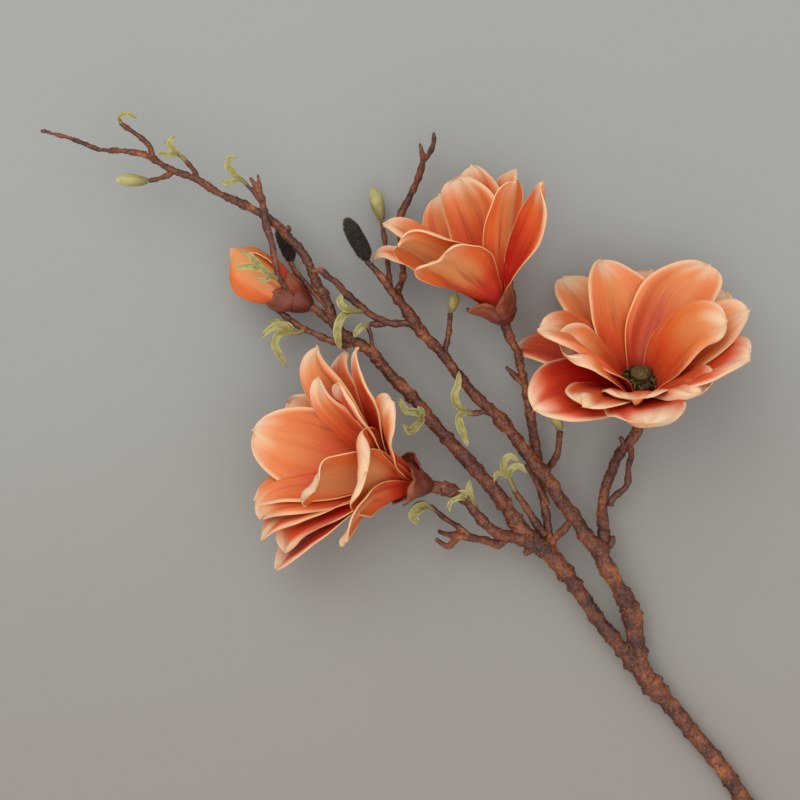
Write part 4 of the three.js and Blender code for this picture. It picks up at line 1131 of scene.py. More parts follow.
# each petal's flush is partly its own red root and partly painted light and shade: larger for petals that
# lie in shade, below 0 for outer faces that the lamps leave dark
BLOOMS = [
    Bloom(
        "left", base=(8, -53, 47), axis=(-0.879, 0.219, 0.423), carpels=70,
        lobes=[lobe(356, 49, 17, 33), lobe(116, 54, 14, 30), lobe(236, 54, 14, 30)],
        petals=[
            Petal(180, 78, 93, 50, curl=4),
            Petal(212, 58, 94, 46, curl=6),
            Petal(154, 47, 98, 46, curl=-6),
            Petal(171, 27, 108, 56, curl=-8, cup=34, roll=0, tip=30, hem=10, skew=0, widest=0.56,
                point=0.56, flush=0.04),
            Petal(221, 27, 106, 34, curl=4, tip=60, fold=0.7, flush=0.08, hem=70, frill=1.6),
            Petal(236, 26, 108, 32, curl=10, face=-20, tip=75, fold=0.7, hem=90, frill=1.6, flush=0.2),
            Petal(234, 39, 108, 36, curl=6, tip=60, fold=0.7, hem=70, frill=1.6, flush=0.3),
            Petal(243, 42, 102, 32, curl=12, face=-16, tip=70, fold=0.7, hem=90, frill=1.6, flush=0.4),
            Petal(236, 63, 106, 46, curl=6, tip=24, hem=50, frill=1.4, flush=0.55),
            Petal(118, 46, 114, 34, curl=12, face=10, tip=70, fold=0.72, hem=60, frill=1.6, flush=0.08,
                skew=0.1),
            Petal(126, 63, 106, 25, curl=8, face=22, tip=60, fold=0.7, hem=80, frill=1.6, flush=0.25),
            Petal(70, 60, 106, 24, curl=-46, belly=16, face=10, tip=60, fold=0.7, flush=0.3),
            Petal(102, 30, 94, 26, curl=8, face=20, tip=60, fold=0.7, hem=90, flush=0.2, point=0.5,
                skew=0.2),
            Petal(78, 37, 88, 38, curl=6, tip=20, flush=0.45),
            Petal(46, 54, 84, 34, curl=16, face=10, cup=16, tip=46, fold=0.8, flush=0.1, point=0.34,
                skew=0),
            Petal(313, 10, 82, 58, curl=8, belly=6, tip=130, fold=0.85, frill=1.4, cup=22, roll=14,
                point=0.3, widest=0.6, claw=0.34, skew=0, flush=-0.14),
            Petal(3, 32, 72, 58, curl=12, belly=6, tip=130, fold=0.82, frill=1.4, cup=24, roll=14,
                point=0.3, widest=0.6, claw=0.34, skew=0, flush=-0.02),
            Petal(322, 51, 92, 30, curl=14, belly=6, cup=16, tip=30, fold=0.86, hem=30, point=0.3, skew=0,
                flush=0.05),
        ],
    ),
    Bloom(
        "top", base=(66, 58, 35), axis=(-0.453, 0.853, 0.259), cup=9.4, carpels=70,
        lobes=[lobe(50, 20, 20, 30), lobe(170, 26, 18, 28), lobe(290, 46, 22, 27)],
        petals=[
            Petal(168, 56, 90, 44, curl=4),
            Petal(185, 36, 94, 44, curl=2, flush=0.12),
            Petal(240, 26, 96, 38, curl=12, tip=40, flush=0.1),
            Petal(244, 46, 98, 12, belly=26, face=-30, tip=90, fold=0.8, hem=10, flush=0.3),
            Petal(141, 28, 98, 44, flush=0.1),
            Petal(52, 0, 100, 34, leans=(20, 67, 62, 13), face=46, tip=10, hem=24, skew=-0.1, flush=0.24,
                claw=0.24, widest=0.66),
            Petal(121, 41, 96, 28, curl=-4, face=10, tip=70, fold=0.8, flush=0.1),
            Petal(129, 16, 90, 48, cup=40, hem=14, frill=0.4, tip=8, claw=0.24, widest=0.64, point=0.4,
                skew=0.14, flush=0.14),
            Petal(298, 29, 88, 46, curl=8, face=26, cup=46, hem=50, tip=30, claw=0.2, widest=0.66,
                point=0.34, skew=0, flush=0.06),
            Petal(59, 36, 90, 40, curl=-4, face=-16, cup=46, hem=24, tip=14, claw=0.24, widest=0.68,
                point=0.44, skew=0.04, flush=0.02),
            Petal(334, 43, 76, 48, belly=4, cup=46, hem=30, tip=34, fold=0.84, claw=0.36, widest=0.74,
                point=0.3, skew=-0.08, flush=0.08),
        ],
    ),
    Bloom(
        "right", base=(155, -2, 30), axis=(0, 0.72, 0.69), cup=11, carpels=70, stamens=60,
        lobes=[lobe(0, 50, 18, 26), lobe(120, 56, 18, 26), lobe(240, 56, 18, 26)],
        petals=[
            Petal(304, 71, 98, 54, curl=8, face=-10, tip=34, hem=30, flush=0.5, point=0.5),
            Petal(238, 97, 94, 46, curl=10, tip=30, flush=0.4),
            Petal(209, 70, 98, 48, curl=6),
            Petal(172, 77, 98, 48, curl=4),
            Petal(136, 75, 98, 46, curl=8),
            Petal(96, 44, 98, 44, curl=12, tip=34, skew=0.1),
            Petal(61, 49, 94, 60, curl=6, face=0, tip=26, hem=30, flush=0.45, point=0.5),
            Petal(357, 58, 92, 52, curl=10, cup=20, roll=24, tip=50, fold=0.84, hem=24, frill=4, flush=0.5,
                widest=0.7, point=0.3, skew=0),
            Petal(272, 42, 102, 56, curl=12, face=10, cup=46, tip=46, hem=90, skew=0.14, flush=0.2),
            Petal(195, 50, 96, 54, curl=6, roll=10, hem=16, claw=0.34, widest=0.48, point=0.66, skew=0.12,
                flush=0.02),
            Petal(150, 52, 102, 52, curl=6, roll=10, hem=16, claw=0.32, widest=0.5, point=0.46, skew=-0.2,
                flush=0.05),
            Petal(93, 25, 97, 46, curl=14, face=14, tip=50, hem=90, point=0.36, skew=-0.24),
            Petal(292, 35, 90, 38, curl=16, face=-16, cup=16, roll=10, tip=60, fold=0.7, hem=20, frill=3.4,
                flush=0.1, widest=0.68, point=0.34, skew=0),
            Petal(33, 44, 82, 42, curl=12, cup=24, roll=24, tip=56, hem=30, frill=2.6, flush=0.35,
                widest=0.68, point=0.34, skew=0),
            Petal(349, 46, 76, 44, curl=10, cup=20, roll=24, tip=44, fold=0.82, hem=20, frill=3, flush=0.4,
                widest=0.72, point=0.3, skew=0),
            Petal(335, 57, 66, 42, curl=10, tip=20, flush=0.6),
            Petal(323, 58, 88, 42, curl=8, cup=14, roll=6, tip=14, fold=0.84, hem=10, frill=3, flush=0.3,
                widest=0.72, point=0.34, skew=0),
        ],
    ),
    Bloom(
        "bud", base=(-70, 68, 27), axis=(-0.85, 0.5, -0.04),
        lobes=[lobe(60, 0, 15, 27, shut=True), lobe(180, 0, 16, 28, shut=True),
            lobe(300, 0, 19, 28, shut=True)],
        petals=[
            shut_petal(250, 52, 46, leans=(40, 14, -20, -52), cup=92, root=4, skew=0, point=0.5, flush=-0.2),
            shut_petal(130, 52, 46, leans=(40, 14, -20, -50), cup=92, root=4, skew=0, point=0.5, flush=-0.1),
            shut_petal(10, 56, 48, leans=(40, 16, -18, -42), cup=88, root=5, skew=0.1, point=0.45,
                flush=-0.25),
        ],
    ),
]


# ---- wood -----------------------------------------------------------------------------------

WOOD = {
    "trunk": [(264, -308.5, 5, 5.2), (245, -288, 6, 5.2), (229, -267, 7, 5.1), (213, -243, 8, 5),
        (196, -223, 9.5, 5), (177, -200, 11, 5.4), (162, -183, 12, 6.6)],
    "limbLow": [(170, -191, 11.5, 5.6), (162, -183, 12, 5.6), (143, -160, 14, 4.6), (130, -144, 15, 4.6),
        (118, -126, 18, 4.6), (100, -103, 22, 5.2), (87, -92, 24, 5.2), (76, -80, 25, 4.6),
        (64, -62, 27, 4.4), (50, -46, 28, 4.3), (38, -33, 29, 4.1), (27, -21, 29, 3.9), (17, -9, 29, 3.8),
        (6, 4, 29, 3.8), (-6, 16, 29, 3.7), (-20, 32, 29, 3.6), (-37, 43, 30, 3.5), (-44, 53, 31, 3.4),
        (-47, 64, 32, 3), (-55, 78, 33, 2.9), (-59, 88, 34, 2.8), (-65, 98, 35, 2.7), (-72, 105, 36, 2.7),
        (-78, 112, 36, 2.6), (-84, 117, 37, 2.7), (-90, 121, 37, 2.6), (-104, 128, 38, 2.4),
        (-117, 134, 38, 2.3), (-132, 143, 39, 2.3), (-150, 150, 39, 2.1), (-163, 158, 40, 2),
        (-178, 161, 41, 1.7), (-194, 162, 42, 1.5), (-207, 167, 43, 1.5), (-220, 171, 44, 1.3),
        (-232, 174, 45, 0.9)],
    "limbHigh": [(166, -188, 12, 5.2), (162, -183, 12, 5.4), (156, -160, 14, 5), (152, -139, 15, 5.6),
        (143, -122, 18, 4.6), (134, -107, 21, 4.8), (130, -97, 23, 5.2), (124, -92, 24, 4.6),
        (115, -78, 26, 4.2), (104, -64, 28, 4.2), (98, -54, 29, 4.6), (85, -38, 30, 4), (74, -23, 31, 3.7),
        (64, -11, 31, 3.8), (56, -4, 31, 3.5), (43, 10, 31, 3.3), (35, 20, 31, 3.3), (27, 31, 31, 3.4),
        (17, 41, 31, 3.3), (9, 51, 31, 3.6), (3, 60, 31, 3), (-4, 69, 31, 2.8), (-12, 80, 31, 2.2),
        (-22, 91, 31, 1.5)],
    "stalkRight": [(132, -98, 22, 4.4), (134, -93, 20, 3.6), (133, -74, 17, 3.2), (135, -59, 15, 3),
        (140, -46, 14.5, 3.3), (145, -35, 14.5, 3.1), (151, -28, 15.5, 3.2), (156, -20, 17, 3.4),
        (156, -9.5, 22, 3.8)],
    "loopRight": [(138, -70, 16, 2.4), (140, -65, 16, 2.2), (149, -56, 19, 2), (150, -44, 20, 2),
        (152, -36, 19, 2), (151, -30, 17, 2)],
    "spurRightUpper": [(148, -32, 16, 2.2), (145, -24, 17, 1.5)],
    "spurRightLower": [(133, -96, 21, 2.6), (138, -95, 21, 2.4), (140, -89, 22, 1.6)],
    "stalkTop": [(102, -105, 21, 3.4), (99, -97, 21, 3.2), (97, -82, 20, 2.7), (95, -70, 19, 2.6),
        (93, -57, 18, 2.6), (92, -44, 18, 2.7), (89, -30, 19, 2.7), (87, -19, 20, 2.9), (85, -6, 21, 2.6),
        (82, 9, 23, 2.5), (79, 21, 24, 2.5), (77, 31, 26, 2.6), (72, 40, 28, 2.8), (68, 51, 31, 3.6)],
    "spurTop": [(81, 10, 23, 1.9), (76, 15, 24, 1.8), (69, 22, 26, 1.2)],
    "twigMiddle": [(96, -49, 18, 2), (99, -43, 19, 2), (103, -36, 22, 2), (104, -28, 23, 1.9),
        (105, -20, 24, 1.8)],
    "bridge": [(112, -78, 26, 2.6), (108, -84, 25, 2.2), (104, -88, 23, 2.1), (99, -94, 22, 2.2)],
    "twigInner": [(97, -69, 19, 2), (92, -59, 21, 2.1), (88, -50, 23, 2), (82, -42, 26, 1.5)],
    "stalkLeft": [(88, -96, 24, 4), (82, -92, 26, 3.8), (72, -89, 29, 3.6), (64, -87, 32, 3.5),
        (56, -81, 35, 3.3), (49, -73, 37, 3.1), (43, -65, 40, 3.1), (34, -59, 42, 3.6),
        (26, -57, 42.5, 4.2), (19.5, -55.9, 41, 4.4)],
    "twigLow": [(71, -90, 27, 2.8), (64, -94, 25, 2.7), (56, -92, 24, 2.6), (44, -90, 23, 2.4),
        (37, -89, 23, 2.4), (31, -88, 23, 1.8), (25, -86, 24, 1.1)],
    "twigLowHook": [(39, -90, 23, 2), (35, -93, 22, 2), (32, -96, 21, 1.9), (27, -94, 20, 1.6),
        (23, -91, 20, 0.9)],
    "twigLowThin": [(46, -89, 23, 2), (41, -85, 23, 1.7), (35, -81, 23, 1.7), (30, -78, 23, 1.7),
        (24, -73, 23, 1.5), (20, -69, 24, 1.2)],
    "spurLow": [(89, -94, 24, 2.6), (85, -98, 24, 2.5), (81, -101, 25, 1.8)],
    "twigTopBud": [(-3, 68, 31, 1.8), (-6, 74, 28, 1.7), (-8, 90, 18, 1.6), (-10, 105, 13, 1.5),
        (-12, 118, 12, 1.5)],
    "twigFork": [(1, 65, 31, 2.2), (-1, 71, 27, 2), (2, 81, 20, 2), (1, 98, 13, 2), (0, 120, 11, 2.2),
        (6, 133, 14, 2.2), (12, 146, 19, 2), (15, 157, 24, 1.9), (14, 163, 26, 1.4), (13, 168, 27, 0.9)],
    "twigForkTip": [(14, 155, 23, 1.6), (19, 161, 25, 1.6), (22, 168, 27, 1.5), (22, 175, 28, 0.9)],
    "twigAcross": [(8, 50, 31, 2.8), (1, 50, 31, 2.4), (-6, 50, 31, 2.3), (-18, 55, 32, 2.3),
        (-27, 62, 33, 2.2), (-36, 70, 35, 2.1), (-42, 77, 37, 2), (-47, 80, 39, 2), (-51, 84, 40, 2),
        (-58, 83, 40, 1.3)],
    "spurAcross": [(-8, 50, 31, 1.9), (-14, 49, 31, 1.7), (-20, 50, 31, 1.2)],
    "twigLeafMiddle": [(-10, 22, 29, 1.6), (-14, 29, 30, 1.4), (-18, 35, 31, 1.3), (-19, 42, 32, 1.3),
        (-21, 48, 32, 1.4)],
    "twigMiddleBud": [(29, 29, 31, 2), (30, 35, 30, 1.7), (32, 45, 29, 1.7), (33, 57, 28, 1.8)],
    "twigCross": [(-72, 70, 45, 1.2), (-75, 74, 46, 1.6), (-78, 79, 47, 1.9), (-80, 87, 46, 2),
        (-83, 102, 44, 2.1), (-87, 115, 41, 2.3), (-89, 128, 40, 2.1), (-92, 136, 40, 1.8),
        (-97, 144, 40, 0.9)],
    "twigCrossTip": [(-90, 131, 40, 1.6), (-91, 139, 41, 1.3), (-92, 146, 42, 0.8)],
    "twigLeafHigh": [(-88, 126, 40, 1.6), (-93, 132, 40, 1.3), (-97, 137, 40, 1.2), (-100, 140, 40, 1.2)],
    "stalkCatkin": [(-46, 59, 31, 2.2), (-51, 65, 30, 1.9), (-57, 71, 28, 1.8), (-63, 78, 25, 1.7),
        (-69, 85, 20.5, 1.6), (-72, 91, 19, 1.6)],
    "stalkBud": [(-43, 50, 31, 2.6), (-48, 53, 30.5, 2.3), (-53, 57.5, 29, 2.4), (-58.6, 61.4, 27.8, 3)],
    "twigUnder": [(-30, 37.5, 30, 2.4), (-35, 36, 30, 2.4), (-40, 37, 29, 2.2), (-46, 39, 28, 2.1),
        (-55, 43, 26, 2), (-67, 49, 24, 1.9), (-79, 58, 23, 1.8), (-88, 66, 23, 1.5), (-94, 71, 24, 1)],
    "nubHigh": [(-75, 109, 36, 1.8), (-72, 112, 37, 1.6), (-71, 109, 38, 1)],
    "twigTip": [(-160, 157, 40, 1.7), (-162, 164, 41, 1.6), (-168, 170, 42, 1.5), (-175, 175, 43, 1.4),
        (-181, 179, 44, 1.3)],
    "stalkTipBud": [(-146, 148, 39, 1.6), (-152, 145, 39, 1.5), (-158, 143, 39, 1.5), (-163, 142, 39, 1.6)],
    "twigLeafFar": [(-130, 141, 39, 1.7), (-133, 148, 40, 1.5), (-137, 153, 41, 1.4), (-139, 155, 41, 1.3)],
    "stubLeafLeft": [(24, -18, 29, 1.8), (20, -16, 31, 1.5), (16, -13, 32, 1.4)],
    "twigLeafLimb": [(58, -7, 31, 2.2), (52, -8, 32, 1.9), (46, -9, 33, 1.6)],
    "twigLeafLow": [(95, -89, 23, 2.8), (88, -79, 25, 2.4), (83, -71, 27, 2.3), (78, -64, 29, 2),
        (74, -58, 30, 1.7)],
}


@dataclass(frozen=True)
class Bark:
    """The sizes of one piece of wood in millimetres, and its seed."""

    name: str
    voxel: float  # squares of the skin that joins its tubes
    lump: float
    grain: float
    speck: float
    seed: int

    def weld(self, limb: bpy.types.Object) -> None:
        """Joins a piece's tubes into one skin and smooths the joints."""
        remesh = limb.modifiers.new("weld", "REMESH")
        remesh.mode = "VOXEL"
        remesh.voxel_size = self.voxel * MM
        smooth = limb.modifiers.new("soften", "SMOOTH")
        smooth.factor = 0.5
        smooth.iterations = 3
        graph = bpy.context.evaluated_depsgraph_get()
        mesh = bpy.data.meshes.new_from_object(limb.evaluated_get(graph), depsgraph=graph)
        limb.modifiers.clear()
        limb.data = mesh
        shade_smooth(mesh)

    def raise_bark(self, limb: bpy.types.Object, relief: Tree) -> None:
        """Raises a piece's skin into bark.

        Args:
            limb: The piece.
            relief: The tree that does it.
        """
        relief.grow(
            limb,
            Lump_height=self.lump * MM,
            Grain_height=self.grain * MM,
            Specks=60000.0,
            Speck_radius=self.speck * MM,
            Seed=self.seed,
            Finish=Finish.BARK.material,
        )


@dataclass
class Wood:
    """The forked branch: tubes along the routes, welded together and raised into bark."""

    thick: float = 3.3  # routes that reach this radius are limbs, the others are twigs
    knot_spacing: float = 14.0
    spacing: float = 1.6
    limbs: Bark = Bark("limbs", voxel=0.72, lump=0.8, grain=0.36, speck=0.45, seed=5)
    twigs: Bark = Bark("twigs", voxel=0.55, lump=0.42, grain=0.24, speck=0.35, seed=9)

    def curves(self, bark: Bark, routes: list[Route]) -> bpy.types.Object:
        """A curve object with a spline for each route.

        Args:
            bark: The piece's name and the seed of its knots.
            routes: The routes of its limbs.

        Returns:
            The curve object.
        """
        random = np.random.default_rng(bark.seed)
        data = bpy.data.curves.new(bark.name, "CURVE")
        data.dimensions = "3D"
        for route in routes:
            stations = spline(route, self.spacing)
            steps = np.linalg.norm(np.diff(stations[:, :3], axis=0), axis=1)
            run = np.concatenate([[0.0], np.cumsum(steps)])
            swell = np.ones(len(run))
            at = self.knot_spacing * (0.3 + 0.5 * random.random())
            while at < run[-1]:
                width = random.uniform(1.6, 3.4)
                swell += random.uniform(0.12, 0.42) * np.exp(-(((run - at) / width) ** 2))
                at += self.knot_spacing * random.uniform(0.35, 1.0)
            swell *= 1 + 0.05 * np.sin(run * 0.5 + random.uniform(0, 6)) * np.sin(run * 0.19)
            line = data.splines.new("POLY")
            line.points.add(len(stations) - 1)
            placed = place(stations[:, :3])
            line.points.foreach_set("co", np.column_stack([placed, np.ones(len(placed))]).ravel())
            line.points.foreach_set("radius", stations[:, 3] * swell * MM)
        return put(bark.name, data)

    def build(self) -> None:
        """Builds and hands over limbs and twigs."""
        tubes, relief = bark_tube_tree(), bark_relief_tree()
        for bark in (self.limbs, self.twigs):
            heavy = bark is self.limbs
            routes = [r for r in WOOD.values() if (max(p[3] for p in r) >= self.thick) == heavy]
            piece = tubes.grow(self.curves(bark, routes), Sides=16, Finish=Finish.BARK.material)
            bark.weld(piece)
            bark.raise_bark(piece, relief)
            hand_over(piece, Finish.BARK, "wood")


# ---- leaf buds, catkins and sprigs ----------------------------------------------------------

BUDS = {
    "bud_tip": [(-163.5, 142, 39, 1.6), (-168, 142, 39, 3.4), (-174, 142.5, 39, 4.2),
        (-180, 142.5, 39, 3.2), (-184, 142, 39, 0.9)],
    "bud_top": [(-12.1, 118.5, 12, 1.6), (-13, 123, 12, 3.6), (-15, 130, 12.5, 4.6), (-17, 136, 13, 3.6),
        (-19, 140, 13, 0.9)],
    "bud_middle": [(33.1, 57.5, 28, 1.8), (34, 61, 28, 3.4), (35.5, 66, 27, 3.5), (36, 70, 26, 1.4)],
    "bud_right": [(104.9, -19.5, 24, 2), (103.5, -15, 24, 3.6), (102, -11, 24, 3.9), (101, -7, 24, 1.6)],
}

CATKINS = {
    "catkin_low": [(-72.1, 91.5, 19, 1.6), (-72.5, 95, 18, 3.6), (-75, 102, 17, 4.4), (-78, 109, 17, 3.8),
        (-80, 113, 17, 1.6)],
    "catkin_high": [(-22.1, 91.5, 31, 1.6), (-23, 95, 31, 4.2), (-27, 103, 31, 5.2), (-32, 112, 31, 4.8),
        (-35, 117.5, 31, 1.8)],
}

SPRIGS = {
    "sprig_tip": ([(-179.6, 177.7, 43.5, 1.4), (-180.8, 180.2, 44.5, 1.3)],
        (3.4, [(-180.9, 179.6, 44), (-180.9, 181.9, 46), (-179.2, 183.4, 47), (-176, 184, 47),
            (-172.9, 183.5, 46), (-169.9, 181.8, 44)])),
    "sprig_far": ([(-137.9, 154.1, 41, 1.4), (-141, 157.2, 42, 1.4), (-143.5, 159, 43, 1.2)],
        (4.2, [(-142.2, 157.7, 43), (-145.9, 161.4, 45), (-148.4, 164.5, 46), (-147.1, 168.4, 46),
            (-144, 170.5, 44)]),
        (3.6, [(-142.9, 158.4, 43), (-147.2, 158.1, 45), (-151.7, 159.4, 45), (-156.5, 158.5, 42)]),
        (2.6, [(-144.1, 159.7, 43), (-148.9, 163.8, 41), (-153, 167.9, 39)])),
    "sprig_high": ([(-99.1, 139.3, 40, 1.3), (-101.6, 141.8, 41, 1.3), (-104.1, 144.2, 42, 1.2)],
        (4.6, [(-102.8, 143, 42), (-107.8, 147.2, 45), (-110.9, 151.5, 47), (-109.6, 156, 47),
            (-104.6, 156.2, 45)]),
        (3.8, [(-102.8, 142.3, 42), (-107.2, 140.8, 44), (-111.8, 140.3, 43), (-115.9, 143.1, 41)]),
        (3, [(-104.8, 144.9, 42), (-108.7, 148.9, 41), (-112.8, 151, 39)])),
    "sprig_bud": ([(-76.8, 76.8, 46, 1.5), (-80.5, 79.2, 48, 1.5), (-84.9, 80.4, 50, 1.3)],
        (4.6, [(-83.6, 80.4, 50), (-89.9, 84.7, 53), (-97.5, 86, 54), (-106.6, 84.8, 52)]),
        (4.2, [(-83.6, 80.4, 50), (-91.1, 87.2, 54), (-97.4, 93.5, 56), (-102.6, 94.9, 54)]),
        (3.4, [(-82.4, 79.8, 49), (-87.4, 77.1, 51), (-92.6, 77.8, 51)])),
    "sprig_under": ([(-62.8, 45.8, 25, 1.6), (-67.4, 43.8, 26, 1.6), (-72.5, 44.4, 27, 1.4)],
        (5, [(-70.6, 44.4, 27), (-76.3, 48.3, 30), (-83.4, 46.9, 31), (-91.4, 40.5, 29)]),
        (5, [(-70.6, 43.8, 27), (-78.2, 43, 31), (-81.4, 37.1, 32), (-78.3, 28.7, 30), (-73.9, 20.9, 27)]),
        (4.2, [(-71.2, 44.4, 27), (-72.1, 47.9, 28.5), (-76.6, 51, 27.5)]),
        (3.6, [(-73.2, 44.4, 27), (-79.8, 51.1, 25), (-85.2, 51.1, 23)])),
    "sprig_across": ([(-24.7, 57.9, 33, 1.8), (-29.2, 57.8, 36, 1.7), (-32.5, 57.8, 37, 1.5)],
        (5, [(-30.5, 57.8, 37), (-35.6, 58.9, 41), (-38.8, 63.4, 42), (-37.6, 68.7, 40)]),
        (5.6, [(-30.5, 57.1, 37), (-36.2, 54.4, 41), (-40.1, 47.2, 42), (-40.2, 38.9, 40),
            (-38.3, 32.5, 37)])),
    "sprig_middle": ([(-20.8, 46.9, 32, 1.5), (-22.8, 49.5, 33, 1.4)],
        (4.6, [(-22.1, 48.2, 33), (-25.3, 47.4, 36), (-27.9, 44.2, 36), (-29.3, 40.3, 34)])),
    "sprig_left": ([(16.9, -13.7, 31.5, 1.6), (13.7, -11.7, 33, 1.5)],
        (5, [(15, -12.4, 32), (10.4, -7.8, 35), (4.5, -7.1, 36), (0.7, -2.6, 35), (-1.3, 2.6, 33)]),
        (5.4, [(15, -13, 32), (11.1, -16.3, 35), (5.9, -20.2, 35), (2, -15.6, 33)]),
        (4, [(13.7, -11.7, 33), (14.3, -7.8, 36), (11.1, -3.9, 35)])),
    "sprig_limb": ([(47.5, -9.1, 32.5, 1.9), (42.9, -7.8, 34, 1.8), (40.3, -7.2, 35, 1.5)],
        (5.2, [(42.9, -7.2, 35), (37.6, -4.5, 38), (35, 2.6, 39), (37.6, 10.4, 38), (38.4, 18.9, 35)]),
        (5.2, [(42.9, -7.8, 35), (38.3, -10.4, 38), (38.9, -16.9, 39), (41.5, -23.4, 38),
            (43.6, -30.6, 35)])),
    "sprig_low": ([(75, -59.4, 30, 1.7), (72.3, -54.1, 32, 1.7), (69.6, -48.8, 34, 1.5)],
        (4.6, [(70.3, -50.1, 33.5), (66.9, -44.2, 36), (67.5, -38.9, 38), (72, -36.3, 38),
            (77.3, -40.9, 36)]),
        (4.2, [(70.3, -50.8, 33.5), (72.1, -44.8, 37), (76.5, -42.8, 38), (82.5, -47.4, 36)]),
        (3.2, [(70.3, -50.8, 33.5), (65.7, -47.5, 35), (62.4, -48.1, 35), (61.2, -53.4, 33)])),
    "sprig_stalk": ([(50, -72.1, 37, 1.9), (47.3, -67.4, 39, 1.7), (45.3, -63.4, 41, 1.5)],
        (4.8, [(46.6, -65.4, 40), (44.6, -59.5, 43), (45.2, -51.7, 43)]),
        (4.2, [(46.6, -65.4, 40), (41.3, -60.1, 44), (33.6, -60.8, 43)]),
        (3.4, [(45.3, -63.4, 41), (37.4, -63.2, 47), (32.3, -66.4, 46), (31.7, -72.4, 43)])),
    "sprig_below": ([(22.3, -72.1, 23, 1.5), (19, -69.4, 24, 1.5), (17, -68.8, 24, 1.3)],
        (7, [(19, -70.1, 24), (13.1, -70, 26), (8.5, -74.6, 26), (12.5, -81.3, 23)]),
        (4.4, [(18.3, -69.4, 24), (13.1, -67.4, 25), (8.5, -68.7, 25)])),
}


@dataclass
class LeafBud:
    """A green bud of lapping scales on a twig's end."""

    name: str
    route: Route

    def build(self) -> None:
        """Builds and hands over the bud."""
        stations = spline(self.route, 0.5)
        angle = (np.arange(20) / 20 * 2 * math.pi)[None]
        share = np.linspace(0, 1, len(stations))[:, None]
        seam = 1 + 0.07 * np.sin(2 * angle + 5.0 * share) + 0.05 * np.abs(np.sin(1.5 * angle + 3 * share))
        body = tube(stations[:, :3], stations[:, 3:4] * seam, 20)
        hand_over(body.build(f"green_{self.name}", Finish.LEAF.material), Finish.LEAF, self.name)


@dataclass
class Catkin:
    """A dark catkin with bristles all over it."""

    name: str
    route: Route

    def build(self, fuzz: Tree) -> None:
        """Builds and hands over the catkin.

        Args:
            fuzz: The tree that grows its bristles.
        """
        piece = rod(self.route, 0.5, 20, 0.86).build(f"fuzzy_{self.name}", Finish.CATKIN.material)
        fuzz.grow(piece, Finish=Finish.CATKIN.material)
        hand_over(piece, Finish.CATKIN, self.name)


@dataclass
class Sprig:
    """A short stem with curled strap leaves."""

    name: str
    stem: Route
    leaves: list[tuple[float, Route]]
    spacing: float = 0.55
    crease: float = 34.0  # how far each half of a leaf is folded up, in degrees

    def leaf(self, width: float, route: Route, seed: int) -> Shell:
        """A strap leaf, folded up along its midrib, with a rounded rim.

        Args:
            width: Its greatest width.
            route: The route of its midrib.
            seed: Seed of its waves.

        Returns:
            The closed leaf.
        """
        random = np.random.default_rng(seed)
        stations = spline(route, self.spacing)
        s = np.linspace(0, 1, len(stations))[:, None]
        tangents = unit(np.gradient(stations, axis=0))
        across = unit(np.cross(tangents, UP))
        spin = np.radians(random.uniform(-25, 25)) * s + 0.25 * np.sin(6 * s + random.uniform(0, 6))
        across, lift = spun(across, np.cross(across, tangents), spin)
        t = crossing(LEAF_COLUMNS, 1.4)[None]
        half = 0.62 * width * (0.25 + 0.75 * np.sin(math.pi * np.minimum(1, 0.1 + 0.9 * s)) ** 0.75)
        half = half * np.sqrt(np.clip((1.0 - s) / 0.12, 0.01, 1))
        fold = np.radians(self.crease)
        waves = 0.5 * np.sin(12 * s + 3 * t + random.uniform(0, 6)) * np.abs(t)
        waves = waves + 0.22 * np.sin(27 * s - 5 * t + random.uniform(0, 6))
        soft = np.sqrt(t**2 + 0.02) - 0.14
        points = (
            stations[:, None]
            + across[:, None] * (t * half * np.cos(fold))[..., None]
            + lift[:, None] * (soft * half * np.sin(fold) + waves)[..., None]
        )
        distance = np.minimum((1 - np.abs(t)) * half, (1 - s) * len(stations) * self.spacing)
        depth = 0.42 * np.sqrt(np.clip(distance / 0.5, 0, 1)) * (1 - 0.35 * np.abs(t))
        tone = np.broadcast_to(0.25 + 0.35 * s + 0.4 * t**4, depth.shape)
        return closed_sheet(points, depth, along=tone)[0]

    def build(self) -> None:
        """Builds and hands over the sprig."""
        whole = rod(self.stem, 0.6, 12)
        whole.values["along"] = whole.values["along"] * 0.2
        for i, (width, route) in enumerate(self.leaves):
            whole.add(self.leaf(width, route, sum(map(ord, self.name)) + i))
        hand_over(whole.build(f"leafy_{self.name}", Finish.LEAF.material), Finish.LEAF, self.name)


# ---- floor, light and camera ----------------------------------------------------------------


@dataclass(frozen=True)
class Lamp:
    """A square soft lamp that faces the branch: its place and side in metres, its power in watts."""

    name: str
    spot: tuple[float, float, float]
    size: float
    power: float
    colour: tuple[float, float, float]

    def build(self) -> None:
        """Makes the lamp."""
        data = bpy.data.lights.new(self.name, "AREA")
        data.size, data.energy, data.color = self.size, self.power, self.colour
        lamp = put(self.name, data)
        lamp.location = self.spot
        lamp.rotation_mode = "QUATERNION"
        lamp.rotation_quaternion = (-lamp.location).to_track_quat("-Z", "Y")


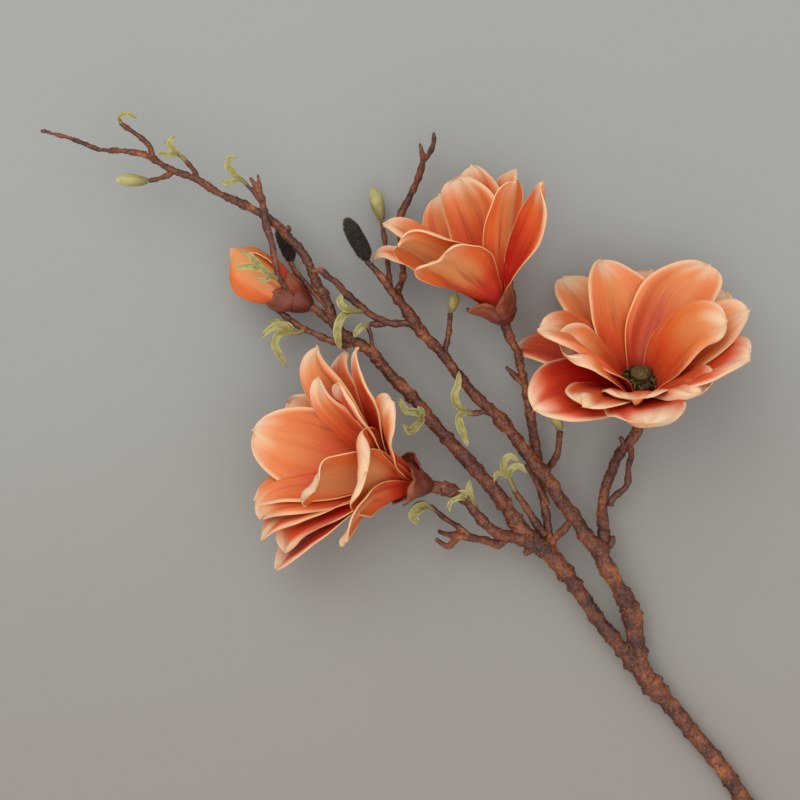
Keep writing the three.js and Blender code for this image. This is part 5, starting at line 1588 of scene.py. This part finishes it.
@dataclass
class Studio:
    """A pale floor, soft light and the camera that looks down at the branch."""

    reference: float = 35.0  # height of the middle of the blooms
    distance: float = 1444.0  # of the camera from that height
    lens: float = 100.0
    sensor: float = 36.0
    floor_side: float = 12.0  # in metres
    # the floor is painted lighter past the tip and darker and warmer past the stem: painted light falloff
    warming: float = 0.26  # how far from the middle the floor's colour is still changing, in metres
    far: Colour = (152, 152, 148)  # colours of the floor past the tip and the stem
    near: Colour = (142, 135, 127)
    sky: tuple[float, float, float, float] = (0.95, 0.98, 1.0, 1.0)
    sky_strength: float = 0.78
    lamps: tuple[Lamp, ...] = (
        Lamp("key", (-0.7, 1.0, 1.9), size=2.0, power=23.0, colour=(0.97, 1.0, 0.99)),
        Lamp("fill", (0.3, -1.0, 1.8), size=2.2, power=13.0, colour=(1.0, 0.92, 0.85)),
    )

    def make_floor(self) -> None:
        """A large plain floor with painted light falloff: it turns a little darker and warmer to the stem's
        end.
        """
        bpy.ops.mesh.primitive_plane_add(size=self.floor_side, location=(0, 0, 0))
        floor = bpy.context.object
        floor.name = "floor"
        paint = Paint("floor", 0.9)
        where = paint.node("SeparateXYZ", Vector=paint.place()).outputs["Y"]
        # painted light falloff along the floor
        shade = paint.ramp(paint.span(where, -self.warming, self.warming), (0.0, self.near), (1.0, self.far))
        paint.feed(paint.shader, Base_Color=shade)
        floor.data.materials.append(paint.material)

    def make_sky(self) -> None:
        """An even pale sky."""
        world = bpy.data.worlds.new("sky")
        world.use_nodes = True
        background = world.node_tree.nodes["Background"]
        background.inputs[0].default_value = self.sky
        background.inputs[1].default_value = self.sky_strength
        bpy.context.scene.world = world
        bpy.context.scene.view_settings.view_transform = "Standard"

    def make_camera(self) -> None:
        """The camera over the middle of the picture, looking straight down."""
        data = bpy.data.cameras.new("camera")
        data.lens, data.sensor_width = self.lens, self.sensor
        camera = put("camera", data)
        camera.location = place([0.0, 0.0, self.reference + self.distance])
        bpy.context.scene.camera = camera

    def build(self) -> None:
        """Builds the floor, the lamps, the sky and the camera."""
        self.make_floor()
        for lamp in self.lamps:
            lamp.build()
        self.make_sky()
        self.make_camera()


def main() -> None:
    """Builds the branch piece by piece, then the studio."""
    logging.basicConfig(level=logging.INFO, format="%(name)s %(message)s")
    Wood().build()
    for bloom in BLOOMS:
        bloom.build()
    for name, route in BUDS.items():
        LeafBud(name, route).build()
    fuzz = fuzz_tree()
    for name, route in CATKINS.items():
        Catkin(name, route).build(fuzz)
    for name, (stem, *leaves) in SPRIGS.items():
        Sprig(name, stem, leaves).build()
    Studio().build()


if __name__ == "__main__":
    main()
